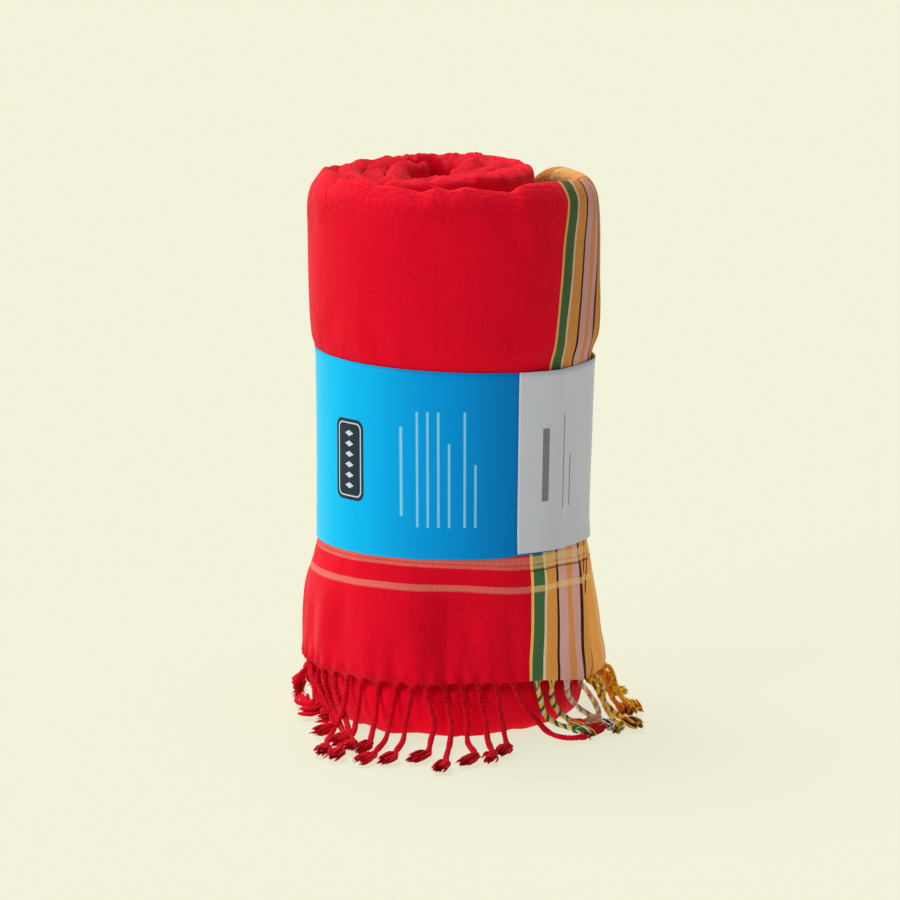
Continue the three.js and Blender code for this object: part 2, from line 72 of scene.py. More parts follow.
SQUEEZE_RIGHT = [
    (0, 2.3), (20, 2.1), (29, 0.2), (41, -1.4), (50, -2.7), (60, -3.7), (67, -4.9), (76, -5.4),
    (104, -4.6), (134, -3.6), (140, -2.9), (146, -1), (155, -0.4), (172, -0.1), (190, 0),
]
OUTER_CREST = [
    (0, 193), (4, 199), (9, 203), (18, 205.6), (33, 205.2), (53, 204.9), (68, 206.2),
    (83, 207.6), (112, 207.9), (118, 206.2),
    (130, 206.9), (137, 207.8), (145, 207.2), (150, 208.1), (157, 206.6), (166, 207.3),
    (185, 208), (233, 208.4), (277, 206.4), (307, 207.6), (323, 208), (360, 208),
]
INNER_CREST = [
    (360, 208), (413, 208), (455, 209.6), (490, 208.8), (540, 207.4), (590, 208.4),
    (650, 209), (720, 209.4), (790, 209.8), (860, 208.6), (930, 207.6), (1010, 209.6),
    (1080, 210), (1150, 209.8), (1230, 207.4), (1330, 209), (1440, 210),
]
FOOT_BULGE = [(0, 0), (1.5, 1.5), (4, 2.9), (9, 4), (20, 5), (40, 7.4)]
BORDER_START = [
    (20, 30), (28, 30.9), (37, 32.1), (52, 33.4), (67, 34.4), (137, 43.1), (149, 44.1),
    (158, 45.1), (171, 46.4), (191, 48.5), (205, 52.2),
]
# The hem hangs lower round the striped border: azimuth, height.
HEM_LINE = [
    (-220, 21), (0, 21), (28, 21), (36, 20.6), (48, 19), (58, 17.6), (72, 17.2), (90, 18),
    (112, 20), (128, 21), (145, 21),
]
# Tassels: azimuths of root, bend and tip, and how far out the tip lies. One whose points are
# listed one by one has only its root here.
FIELD_TASSELS = [
    (24.5,), (18, 18, 12, 91), (11, 12, 8.4, 101), (4, 5.5, 4.6, 103),
    (-3.5, -0.5, -1.5, 113), (-10.5, -6.5, -7, 100), (-16, -17, -12.6, 103),
    (-23, -23, -17, 106), (-31, -29, -20.5, 90), (-39, -37, -23, 103), (-47, -44, -28, 99),
    (-54.5,),
    (-62,), (-70,), (-78,), (-82.5,),
    (-87.5,),
    (-94.5, -95, -94, 59), (-103, -103, -103, 59), (-111.5, -112, -113, 60),
    (-120, -121, -123, 62), (-128, -130, -133, 77), (-136.5, -136, -140, 75),
    (-145, -147, -151, 84), (-153, -154, -158, 75), (-161.5, -163, -165, 81),
    (-170, -170, -174, 84), (-178.5, -180, -182, 78),
]
BORDER_TASSELS = [
    (34,), (41,), (48.5,), (56,),
    (64,), (72,), (80,), (88,), (96, 98, 104, 66.5),
    (104.5, 106, 112, 67), (113, 114, 118, 73), (121.5, 123, 128, 72), (130, 132, 137, 78),
    (138, 141, 146, 76),
]
# Tassels whose points are listed one by one: from the root's azimuth, the points (azimuth, radius,
# z) after it.
HAND_LAID = {
    -87.5: [(-82, 55.3, 15), (-80, 53.9, 8), (-77, 54.7, 4.2), (-79, 57.2, 2.4), (-86, 58.6, 2.1),
            (-92, 58.5, 2)],
    -82.5: [(-77.5, 55.4, 15), (-73, 54.4, 8), (-68, 55, 4.6), (-64, 59, 2.6), (-70, 61.5, 2)],
    -78: [(-73, 55.6, 15), (-68, 54.2, 8), (-60, 55.4, 4), (-55, 59.5, 2.3), (-57, 62, 2)],
    -70: [(-66, 56.3, 15), (-60, 55.3, 7.5), (-51, 59, 3.6), (-43.5, 66, 2.3), (-40, 76.5, 2)],
    -62: [(-58.5, 56.5, 15), (-55, 55.7, 7), (-43.5, 62, 3.2), (-34, 73, 2.3), (-30, 86, 2)],
    -54.5: [(-51.5, 56.6, 14), (-45, 58, 6), (-35, 68, 3), (-28, 80, 2.2), (-26, 92, 2)],
    24.5: [(26.5, 55.8, 14.5), (31, 55, 8.4), (37, 54, 3.4), (35, 61.5, 2), (33.6, 70, 1.9),
           (35.5, 76, 1.9), (39.8, 77, 1.9), (45.8, 74.3, 1.9), (51.5, 71.8, 1.9)],
    34: [(37, 55, 13), (40, 54, 6.4), (44, 56, 2.4), (44, 63.3, 1.9), (43.5, 71.3, 1.9),
         (41.5, 81.6, 1.9)],
    41: [(43.5, 54.6, 11.7), (48.5, 54, 5.6), (51.5, 56, 2.6), (48, 63.3, 1.9), (46.3, 73, 1.9)],
    48.5: [(52, 55.6, 12), (60, 54.6, 6), (63, 58, 2.4), (58.3, 66.3, 1.9), (50.4, 79.4, 1.9)],
    56: [(57, 62, 12), (60.6, 63.2, 6), (59.3, 64.3, 2.8), (52.1, 66.9, 1.9), (46, 69, 1.9)],
    64: [(62, 61.5, 14), (67.5, 62.4, 7), (68.5, 66.4, 2.6), (62.2, 74.5, 1.9), (55.7, 84.2, 1.9)],
    72: [(70, 60.5, 13), (67, 63, 6), (63, 68, 2.4), (56, 75.1, 1.9), (49, 83, 1.9)],
    80: [(78.5, 60.8, 14), (79, 61.6, 8), (81.7, 63, 3.4), (75, 68, 2), (68.5, 72, 1.9)],
    88: [(86, 61, 15), (86.5, 63, 8), (85.5, 66, 3.4), (79, 70, 2.3), (71.5, 73.5, 2)],
}
TASSEL_BEND_RADIUS, TASSEL_BEND_HEIGHT = 60.2, 7

# ---- Sizes of the fine form ----
CLOTH = 0.55  # thickness of one layer of cloth
PAPER = 0.35
CORD_PLY = 0.66  # radius of one ply of a tassel's cord
CORD_TWIST = 5.0  # length of one whole twist
THREAD = 0.37  # radius of a loose thread
ACCENT = 0.36  # radius of the thin thread between the plies
GATHERED = 0.42  # radius of the warp threads that gather into a cord
KNOT_COIL = 0.62  # radius of the cord in its knot
TUFT_THREADS = 54
TUBE_GUIDE = (0.31, 0.17, 0.93)  # a direction that no tube runs in


# ---- Reading the tables ----
def curve(table, x):
    """A smooth curve through the rows (place, value) of a table."""
    xs, ys = np.asarray(table, float).T
    slope = np.gradient(ys, xs)
    slope[1:-1] = (ys[2:] - ys[:-2]) / (xs[2:] - xs[:-2])
    x = np.clip(np.asarray(x, float), xs[0], xs[-1])
    i = np.clip(np.searchsorted(xs, x, side="right") - 1, 0, len(xs) - 2)
    span = xs[i + 1] - xs[i]
    t = (x - xs[i]) / span
    leave, arrive = slope[i] * span, slope[i + 1] * span
    t2, t3 = t * t, t * t * t
    return (
        (2 * t3 - 3 * t2 + 1) * ys[i]
        + (t3 - 2 * t2 + t) * leave
        + (3 * t2 - 2 * t3) * ys[i + 1]
        + (t3 - t2) * arrive
    )


def smooth(x, low, high):
    t = np.clip((np.asarray(x, float) - low) / (high - low), 0, 1)
    return t * t * (3 - 2 * t)


def mix(a, b, share):
    return a + (b - a) * share


def bell(x):
    return np.exp(-(x**2))


def unit(vectors):
    return vectors / np.maximum(np.linalg.norm(vectors, axis=-1, keepdims=True), 1e-9)


def wrap_radius(wound):
    """Radius of the roll's outer face about the turn's own centre."""
    turns_in = np.maximum(0, np.ceil((wound - WRAP[-1][0]) / TURN))
    return curve(WRAP, wound - turns_in * TURN) - turns_in * TURN_PITCH


def right_share(wound):
    return (1 + np.sin(np.radians(FREE_END - wound))) / 2


def face_radius(wound, z):
    squeeze = mix(curve(SQUEEZE_LEFT, z), curve(SQUEEZE_RIGHT, z), right_share(wound))
    return wrap_radius(wound) + squeeze * (1 - smooth(wound, 332, 366))


def crest_height(wound):
    return np.where(wound <= TURN, curve(OUTER_CREST, wound), curve(INNER_CREST, wound))


def roll_point(wound, radius, z):
    share = smooth(wound, *LOOSEN)
    angle = np.radians(FREE_END - wound)
    x = share * ROLL_CENTRE[0] + radius * np.sin(angle)
    y = share * ROLL_CENTRE[1] - radius * np.cos(angle)
    return np.stack(np.broadcast_arrays(x, y, z), -1)


def rounded(points, wound, middle):
    """Lets the outer turn's fold lean inwards, so that its top rolls over softly."""
    radius = np.hypot(points[..., 0], points[..., 1])
    below = np.maximum(crest_height(wound) - points[..., 2], 0)
    left, right = 3.1 * bell(below / 6.2), 1.5 * bell(below / 8)
    amount = mix(left, right, right_share(wound)) * (1 - smooth(wound, 320, 356))
    amount = amount * smooth((radius - middle) / BUNDLE, -0.5, 0.5)
    scale = (radius - amount) / np.maximum(radius, 1)
    return points * np.stack([scale, scale, np.ones_like(scale)], -1)


def seam_wound(z):
    return FREE_END - curve(BORDER_START, z)


def table_azimuth(wound):
    """The azimuth of a place on the outer turn, in the range of the tables."""
    azimuth = FREE_END - wound
    return np.where(azimuth < AZIMUTH_FROM, azimuth + TURN, azimuth)


# ---- Soft form: waves, creases and wrinkles ----
def noise(x, y, seed):
    """Smooth random values from -1 to 1, on a lattice with a step of 1."""
    size = 64
    table = np.random.default_rng(seed).uniform(-1, 1, (size, size))
    i, j = np.floor(x).astype(int), np.floor(y).astype(int)
    u, v = x - i, y - j
    u, v = u * u * (3 - 2 * u), v * v * (3 - 2 * v)
    low = mix(table[i % size, j % size], table[(i + 1) % size, j % size], u)
    high = mix(table[i % size, (j + 1) % size], table[(i + 1) % size, (j + 1) % size], u)
    return mix(low, high, v)


def off_line(x, y, x0, y0, x1, y1):
    """How far each point lies off a line, and at which share of the line."""
    dx, dy = x1 - x0, y1 - y0
    t = np.clip(((x - x0) * dx + (y - y0) * dy) / (dx * dx + dy * dy), 0, 1)
    return np.hypot(x - x0 - t * dx, y - y0 - t * dy), t


def trough(azimuth, z, line, width, depth):
    """A soft crease along the line (azimuth, z, azimuth, z); width in mm."""
    scale = ALONG_RADIUS * math.pi / 180
    a0, z0, a1, z1 = line
    off, t = off_line(azimuth * scale, z, a0 * scale, z0, a1 * scale, z1)
    return depth * bell(off / width) * (0.35 + 0.65 * np.sin(np.pi * t))


# Creases of the outer turn: azimuth and height of both ends, width, and depth (ridges above 0).
CREASES = [
    (4.5, 12, 4.5, 64, 14, -4.8), (-19, 16, -17, 60, 9, 1.2), (-30, 20, -26, 54, 13, 0.8),
    (64, 78, 63, 128, 8, -0.9), (-4, 18, -3, 52, 3.4, -1.1), (4, 18, 3, 40, 3.2, 0.9),
    (12, 20, 13, 46, 4.2, 0.8), (24, 19, 25, 50, 3.6, -1.3), (-16, 20, -14, 38, 3.6, 0.8),
    (-24, 19, -22, 36, 3.2, -0.8), (-40, 20, -34, 40, 4.2, 0.9), (-52, 26, -47, 56, 4.6, -0.9),
    (-63, 22, -60, 50, 4.2, 0.9), (-75, 20, -71, 48, 4.4, -1.1), (-92, 21, -88, 52, 4.0, 1.0),
    (-108, 19, -104, 44, 3.6, -1.5), (-126, 20, -121, 55, 4.4, 1.1),
    (-141, 19, -138, 47, 3.6, -1.4), (-159, 20, -155, 50, 4.4, 0.9),
    (-176, 19, -171, 40, 3.4, -1.2), (58, 20, 60, 60, 2.4, -1.2), (66, 19, 67, 58, 2.2, 0.9),
    (72, 20, 72, 64, 1.9, -1.5), (79, 20, 77, 60, 2.1, 1.0), (86, 20, 83, 62, 1.9, -1.5),
    (94, 20, 92, 56, 2.4, 1.0), (104, 20, 101, 58, 2.6, -1.4), (117, 21, 113, 50, 3.0, 0.9),
    (131, 20, 127, 55, 2.8, -1.3), (-58, 199, -30, 188, 5.5, -0.8), (-33, 201, 2, 192, 4.5, 0.7),
    (-16, 193, 16, 196, 4.6, -0.8), (14, 203, 28, 184, 4.0, -0.6), (30, 202, 38, 178, 4.4, 0.6),
    (-82, 202, -70, 186, 5.0, -0.8), (-120, 201, -95, 188, 6.0, -0.9),
    (-150, 190, -128, 200, 5.0, 0.8), (-175, 201, -160, 180, 5.0, -0.9),
    (-66, 143, -52, 160, 5.0, -0.7), (-28, 142, -36, 158, 5.0, -0.5), (6, 142, 10, 165, 5.5, 0.5),
    (28, 142, 24, 160, 4.5, -0.5), (52, 141, 50, 166, 3.5, -0.6), (70, 141, 74, 170, 3.6, -0.8),
    (84, 142, 82, 168, 3.2, 0.7), (100, 141, 104, 176, 4.2, -0.9), (122, 142, 118, 165, 4.2, 0.7),
    (-100, 142, -108, 172, 5.0, -0.9), (-132, 141, -126, 165, 4.6, 0.8),
    (-158, 142, -165, 178, 5.0, -1.0), (-88, 66, -96, 52, 4.2, -0.8),
    (-44, 66, -40, 55, 4.4, 0.5), (-12, 66, -8, 56, 4.6, -0.5), (40, 66, 42, 50, 3.6, 0.6),
]


def root_share(azimuth):
    """1 at each tassel's root along the hem, falling to 0 between them."""
    pinch = np.zeros_like(azimuth)
    for row in FIELD_TASSELS + BORDER_TASSELS:
        away = (azimuth - row[0] + 180) % 360 - 180
        pinch = np.maximum(pinch, bell(away / 1.9))
    return pinch


def face_relief(wound, z, along):
    """How far the cloth of the outer turn stands out of its plain form, in mm."""
    azimuth = table_azimuth(wound)
    above = np.maximum(z - hem_height(azimuth), 0)
    low = np.exp(-above / 15)
    relief = 0.45 * noise(along / 36, z / 75, 3) + 0.22 * noise(along / 13 + 9, z / 48, 4)
    relief += 0.10 * noise(along / 5.5, z / 30, 5)
    relief += low * (1.0 * noise(along / 12, z / 70, 6) + 0.45 * noise(along / 6, z / 50, 7))
    for *line, width, depth in CREASES:
        relief = relief + trough(azimuth, z, line, width, depth)
    edge = bell((z - 144) / 5) + bell((z - 63.5) / 4)
    relief += 0.35 * edge * noise(along / 4.2, z / 9, 8)
    held = smooth(z, 62, 70) * (1 - smooth(z, 138, 144))
    relief *= 1 - 0.93 * held
    near_hem = np.exp(-above / 3.2) * hem_play(azimuth)
    uneven = 1 + 0.7 * noise(along / 15, z * 0, 9)
    return relief + near_hem * (0.9 - 1.9 * root_share(azimuth)) * uneven


def hem_height(azimuth):
    return curve(HEM_LINE, azimuth)


def hem_play(azimuth):
    """How freely the hem waves: less in the striped border, whose edge is firmer."""
    return mix(1, 0.22, smooth(azimuth, 25, 32))


# Short creases across the folded top: degrees wound, width in mm, depth, and how far it slants.
TOP_CREASES = [
    (117, 2.4, 0.5, 0.3), (157, 2.0, 0.5, -0.3), (205, 3, 0.6, -0.5), (226, 3.4, 0.7, 0.4),
    (243, 3, 0.6, -0.2), (262, 3.4, 0.5, 0.5), (290, 3, 0.4, -0.5), (316, 3.4, 0.3, 0.3),
    (402, 3, 0.5, -0.4), (428, 2.6, 0.5, 0.5), (452, 2.2, 0.7, -0.5), (481, 2.4, 1.0, 0.4),
    (507, 2.8, 1.2, -0.6), (533, 2.4, 1.0, 0.3), (560, 3, 1.0, -0.3), (588, 2.6, 0.8, 0.6),
    (613, 3.2, 1.0, -0.4), (640, 2.6, 0.6, 0.4), (672, 3, 0.5, -0.5), (705, 2.6, 0.4, 0.5),
    (742, 3, 0.5, -0.3), (778, 2.6, 0.4, 0.4), (816, 2.4, 0.6, -0.6), (850, 2.8, 1.0, 0.4),
    (887, 2.6, 1.4, -0.3), (921, 3, 1.2, 0.5), (962, 2.6, 1.3, -0.5), (1004, 2.6, 1.1, 0.4),
    (1046, 2.6, 1.3, -0.4), (1090, 2.4, 1.2, 0.3), (1140, 2.6, 1.4, -0.3),
    (1196, 2.6, 1.2, 0.4), (1250, 2.4, 1.4, -0.3), (1310, 2.4, 1.2, 0.3), (1380, 2.4, 1.2, -0.3),
]


def top_relief(wound, over, along):
    """Relief of the folded top. over runs from 0 at the outer shoulder to 1 at the inner one."""
    wide = np.sin(np.pi * np.clip(over, 0, 1)) ** 0.7
    outer = 0.2 + 0.2 * (1 + np.cos(np.radians(FREE_END - wound)))
    lively = mix(outer, 1, smooth(wound, 340, 400))
    relief = 0.6 * noise(along / 11, over * 1.2, 11) + 0.35 * noise(along / 5.2, over * 2, 12)
    relief = relief + 0.2 * noise(along / 2.6, over * 4, 13)
    wrinkle = 1 - 2 * np.abs(noise(along / 6 + over * 1.1, over * 1.5 + along / 23, 14))
    fine = 1 - 2 * np.abs(noise(along / 3.3 - over, over * 2.4 + along / 17, 15))
    relief = (relief + 0.5 * wrinkle + 0.3 * fine) * lively
    radius = np.maximum(wrap_radius(wound), 8)
    for centre, width, depth, slant in TOP_CREASES:
        away = (wound - centre) * np.pi / 180 * radius + slant * (over - 0.5) * 9
        relief = relief - depth * bell(away / width)
    return relief * wide


# Ridges and hollows across the top, in plan: x and y of both ends, width, height.
TOP_FORMS = [
    (-44.5, 4, -44, -16, 4.0, 1.5), (-45.7, 4, -43.4, -14, 1.3, -1.6),
    (-38, -14, -36, 22, 4.2, 0.8), (-30.5, 4, -26.5, -30, 2.2, -2.2),
    (-30, 12, -24, 26, 4.6, 0.6), (-21, -22, -19, 26, 5.0, 0.7), (-15, -12, -3, -12, 6.5, -2.6),
    (-15, 20, -4, 22, 4.5, 1.6), (-16.5, 27, -13.5, 15, 1.6, -2.0), (-4.5, 12, -1, 28, 1.8, -3.0),
    (6, 4, 9, 36, 6.0, 1.0), (14, -12, 36, 4, 4.5, 0.7), (12, -30, 30, -20, 3.0, -0.8),
    (-22, -30, -12, -43, 2.8, 0.8), (-4, -38, 4, -46, 2.6, 0.8), (-14, -38, -6, -26, 2.4, 0.9),
    (2, -24, 12, -30, 2.4, 0.9), (22, 20, 36, 24, 3.5, -0.5),
]


def top_shift(x, y):
    total = np.zeros_like(x)
    for *line, width, height in TOP_FORMS:
        total = total + height * bell(off_line(x, y, *line)[0] / width)
    return total


# ---- Meshes ----
def make_object(name, points, faces, uv):
    """A mesh object on the body "root"; points in mm, uv one pair for each point."""
    mesh = bpy.data.meshes.new(name)
    points = np.asarray(points, float).reshape(-1, 3) / 1000
    faces = np.asarray(faces, np.int32)
    mesh.vertices.add(len(points))
    mesh.vertices.foreach_set("co", points.astype(np.float32).ravel())
    mesh.loops.add(faces.size)
    mesh.loops.foreach_set("vertex_index", faces.ravel())
    mesh.polygons.add(len(faces))
    width = faces.shape[1]
    mesh.polygons.foreach_set("loop_start", np.arange(0, faces.size, width, dtype=np.int32))
    mesh.polygons.foreach_set("loop_total", np.full(len(faces), width, np.int32))
    mesh.update(calc_edges=True)
    layer = mesh.uv_layers.new(name="cloth")
    flat = np.asarray(uv, np.float32).reshape(-1, 2)[faces.ravel()]
    layer.data.foreach_set("uv", flat.ravel())
    mesh.polygons.foreach_set("use_smooth", np.full(len(faces), True))
    mesh.validate()
    obj = bpy.data.objects.new(name, mesh)
    bpy.context.scene.collection.objects.link(obj)
    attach(obj, "root")
    return obj


def grid_faces(columns, rows, closed=False):
    """Quads between neighbours in a grid of points; closed joins the last row to the first."""
    i, j = np.meshgrid(np.arange(columns - 1), np.arange(rows if closed else rows - 1))
    i, j = i.ravel(), j.ravel()
    k = (j + 1) % rows
    return np.stack([i * rows + j, i * rows + k, (i + 1) * rows + k, (i + 1) * rows + j], -1)


def grid_normals(grid):
    return unit(np.cross(np.gradient(grid, axis=1), np.gradient(grid, axis=0)))


def turned_edges(grid, uv, sides, thickness, reach):
    """Adds the cloth's cut edges: past each named side the sheet turns and runs back inside."""
    normal = grid_normals(grid)
    for side in sides:
        axis = 0 if side in ("first_column", "last_column") else 1
        g, n, t = (np.moveaxis(a, axis, 0) for a in (grid, normal, uv))
        if side.startswith("last"):
            g, n, t = g[::-1], n[::-1], t[::-1]
        outward = unit(g[0] - g[1])
        rim = g[0] - n[0] * thickness * 0.5 + outward * thickness * 0.35
        back = g[:reach] - n[:reach] * thickness
        g = np.concatenate([back[::-1], rim[None], g])
        n = np.concatenate([n[:reach][::-1], outward[None], n])
        t = np.concatenate([t[:reach][::-1], t[:1], t])
        if side.startswith("last"):
            g, n, t = g[::-1], n[::-1], t[::-1]
        grid, normal, uv = (np.moveaxis(a, 0, axis) for a in (g, n, t))
    return grid, uv


def running_length(grid, start):
    """Distance along the columns from the column index start, for each row."""
    step = np.linalg.norm(np.diff(grid, axis=0), axis=-1)
    total = np.concatenate([np.zeros((1, grid.shape[1])), np.cumsum(step, axis=0)])
    return total - total[start]


def climbed(grid):
    """Distance along the rows from the first one, for each column."""
    return np.linalg.norm(np.diff(grid, axis=1, prepend=grid[:, :1]), axis=-1).cumsum(axis=1)


# ---- The outer sheet of the bundle, one spiral from the free end to the middle ----
FACE_ROWS = 98
FOLD_ROWS = 22
LEG_ROWS = 15
INNER_END = 1392  # degrees wound at which the cloth ends, round a small hole
INNER_ROUND = 20  # degrees over which the bundle's inner end is rounded off
END_SLIP = 5.5  # degrees by which the free end slants back towards the top
WEFT_LINE = [
    (-190, 55.8), (-110, 56.4), (-50, 56.8), (-29, 57.2), (0, 56.5), (30, 54.9), (53, 54.7),
    (72, 53.2), (110, 53), (143, 53.4), (170, 55.8),
]


def spiral_grid(nominal):
    """Points and cloth coordinates for the columns at these degrees wound (taken at the hem)."""
    nominal = np.asarray(nominal, float)[:, None]
    lean_fade = np.where(
        nominal < seam_wound(HEM), nominal / seam_wound(HEM), 1 - smooth(nominal, 113, 330)
    )
    hem = mix(hem_height(table_azimuth(nominal)), 1.5, smooth(nominal, 345, 378))
    shoulder0 = crest_height(nominal) - FOLD_RISE

    def leaning(z):
        slip = END_SLIP * smooth(z, 140, 205) * (1 - smooth(nominal, 0, 16))
        return nominal + lean_fade * (seam_wound(z) - seam_wound(HEM)) + slip

    share = np.linspace(0, 1, FACE_ROWS)[None, :] ** 0.92
    z = mix(hem, shoulder0, share)
    wound = leaning(z)
    along = np.radians(wound) * ALONG_RADIUS
    shoulder = crest_height(wound[:, -1:]) - FOLD_RISE
    z = mix(hem, shoulder, share)
    azimuth = table_azimuth(wound)
    outer = 1 - smooth(wound, 335, 372)
    relief = face_relief(wound, z, along) * outer
    relief += (1 - outer) * (0.25 * noise(along / 14, z / 60, 21) - 0.1)
    near_shoulder = smooth(z, shoulder - 22, shoulder)
    relief += 0.5 * near_shoulder * noise(along / 12, z / 16, 22)
    near_hem = np.exp(-np.maximum(z - HEM, 0) / 3) * outer * hem_play(azimuth)
    pinch = root_share(azimuth)
    uneven = 1 + 0.9 * noise(along / 13, z * 0, 23)
    z_face = z + near_hem * (0.7 - 1.7 * pinch) * uneven
    near_end = np.clip((nominal - INNER_END) / INNER_ROUND + 1, 0, 1)
    closing = 1 - np.sqrt(1 - near_end**2)
    face = roll_point(wound, face_radius(wound, z) + relief - 4 * closing, z_face)

    top_wound = wound[:, -1:]
    top_along = along[:, -1:]
    width = mix(BUNDLE, 9.1, smooth(top_wound, 330, 380))
    middle = wrap_radius(top_wound) - width / 2
    width = width - 8 * closing
    shoulder = shoulder - 3 * closing
    angle = np.linspace(0, np.pi, FOLD_ROWS + 2)[None, 1:-1]
    bump = top_relief(top_wound, angle / np.pi, top_along)
    edge = relief[:, -1:] * (1 - angle / np.pi)
    # The folds press on each other: flat on top, with a narrow groove between them.
    pressed = mix(0.5, 0.34, smooth(top_wound, 330, 372))
    pressed = np.where(angle < np.pi / 2, mix(1, 0.4, smooth(top_wound, 330, 372)), pressed)
    fold = roll_point(
        top_wound,
        middle + (width / 2 + bump * 0.5 + edge) * np.cos(angle),
        shoulder + (FOLD_RISE + bump) * np.sin(angle) ** pressed,
    )
    down = np.linspace(0, 1, LEG_ROWS)[None, :] ** 1.6
    leg_z = mix(shoulder, 2.5, down)
    leg = roll_point(top_wound, middle - width / 2 + 0.15 * np.sin(np.pi * down), leg_z)
    grid = np.concatenate([face, fold, leg], axis=1)
    grid_wound = np.concatenate(
        [wound, np.broadcast_to(top_wound, (len(wound), FOLD_ROWS + LEG_ROWS))], axis=1
    )
    grid = rounded(grid, grid_wound, middle)
    high = smooth(grid[..., 2], 176, 204)
    grid[..., 2] += high * top_shift(grid[..., 0], grid[..., 1])

    weft = curve(WEFT_LINE, azimuth)
    v_face = z - (weft - 56)
    rise = np.linalg.norm(np.diff(grid[:, FACE_ROWS - 1 :], axis=1), axis=-1)
    v_rest = v_face[:, -1:] + np.cumsum(rise, axis=1)
    return grid, np.concatenate([v_face, v_rest], axis=1)


seam = seam_wound(HEM)
border_columns = np.linspace(0, seam, 96)
field_columns = np.concatenate(
    [
        np.linspace(seam, 345, 200),
        np.linspace(345, 720, 170)[1:],
        np.linspace(720, 1080, 120)[1:],
        np.linspace(1080, INNER_END - 15, 60)[1:],
        np.linspace(INNER_END - 15, INNER_END, 14)[1:],
    ]
)
whole_columns = np.concatenate([border_columns, field_columns[1:]])
whole, whole_v = spiral_grid(whole_columns)
whole_u = -running_length(whole, len(border_columns) - 1)
whole_uv = np.stack([whole_u, whole_v], -1)
cut = len(border_columns)

border_grid, border_uv = turned_edges(
    whole[:cut], whole_uv[:cut], ["first_row", "first_column", "last_row"], CLOTH, 6
)
cloth_border = make_object(
    "cloth_border", border_grid, grid_faces(*border_grid.shape[:2]), border_uv
)
field_grid, field_uv = turned_edges(
    whole[cut - 1 :], whole_uv[cut - 1 :], ["first_row", "last_row"], CLOTH, 6
)
cloth_field = make_object("cloth_field", field_grid, grid_faces(*field_grid.shape[:2]), field_uv)
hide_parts("outer_border")
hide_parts("outer_field", "inner_turn_2", "inner_turn_3", "inner_core")

# ---- The folded layers under the outer sheet ----
FOOT_EDGE = [
    (-217, 47.2), (-180, 47.6), (-150, 48.6), (-120, 46.9), (-100, 48), (-84, 46.6), (-61, 46.6),
    (-45, 49), (-27, 52), (-14, 49.6), (4, 52.6), (20, 49.4), (42, 47.5), (65, 46.2), (84, 46.7),
    (110, 48.2), (128, 46.6), (143, 46.8),
]


def layers_grid():
    wound = np.linspace(9, TURN, 230)[:, None]
    azimuth = FREE_END - wound
    along = np.radians(wound) * ALONG_RADIUS
    z = np.concatenate([np.linspace(0, 4, 7), np.linspace(5, 34, 30), np.linspace(40, 186, 16)])
    z = z[None, :]
    wrap = wrap_radius(wound)
    tucked = smooth(wound, 318, 352)
    foot = mix(curve(FOOT_EDGE, azimuth), wrap - 7, tucked)
    waves = 0.7 * noise(along / 9, z / 40, 31) + 0.4 * noise(along / 4.5, z / 26, 32)
    waves *= np.exp(-z / 60) * (1 - tucked)
    stood = foot + curve(FOOT_BULGE, z) + waves
    in_tables = table_azimuth(wound)
    hem = hem_height(in_tables)
    behind = face_radius(wound, z) - 1.9
    behind = behind + np.minimum(face_relief(wound, np.maximum(z, hem), along), 0.4)
    radius = behind - np.log1p(np.exp(np.clip((behind - stood) * 1.6, -30, 30))) / 1.6
    radius = np.where(z < 60, radius, behind)
    # Between the tassels' roots the cloth behind the hem falls back.
    open_hem = 1 - 0.8 * root_share(in_tables)
    hollow = bell((z - hem + 1.4) / 2.3)
    radius -= 5.0 * hollow * open_hem * (1 - tucked)
    lift = 0.9 * smooth(noise(along / 11, along * 0, 33), 0.1, 0.9) * np.exp(-z / 5)
    outside = roll_point(wound, radius, z + lift * (1 - tucked))
    shoulder = crest_height(wound) - FOLD_RISE - 1.8
    middle = wrap - BUNDLE / 2
    angle = np.linspace(0, np.pi, 9)[None, :]
    fold = roll_point(
        wound, middle + (BUNDLE / 2 - 2.9) * np.cos(angle), shoulder + 3.4 * np.sin(angle)
    )
    down = np.linspace(1, 0, 12)[None, :]
    inside = roll_point(wound, middle - BUNDLE / 2 + 1.2 + down * 0, 1.5 + down * 180)
    under = roll_point(wound, radius[:, :1] - 2.2, 0.6 + lift[:, :1] * (1 - tucked))
    ring = np.concatenate([under, outside, fold, inside, under], axis=1)
    return ring, along


layers, layers_along = layers_grid()
rows = layers.shape[1]
climb = climbed(layers)
layers_uv = np.stack([np.broadcast_to(-140 - layers_along, climb.shape), climb - 40], -1)
folded_layers = make_object("folded_layers", layers, grid_faces(layers.shape[0], rows), layers_uv)
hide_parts("outer_layers")

# The edges of the layers at the free end: three sheets, nested, each folded over at the top.
LEAVES = [
    {"inset": 1.5, "start": 0.9, "foot": 3.0, "seed": 41},
    {"inset": 2.7, "start": 2.4, "foot": 1.4, "seed": 42},
    {"inset": 3.8, "start": 1.5, "foot": 4.2, "seed": 43},
]


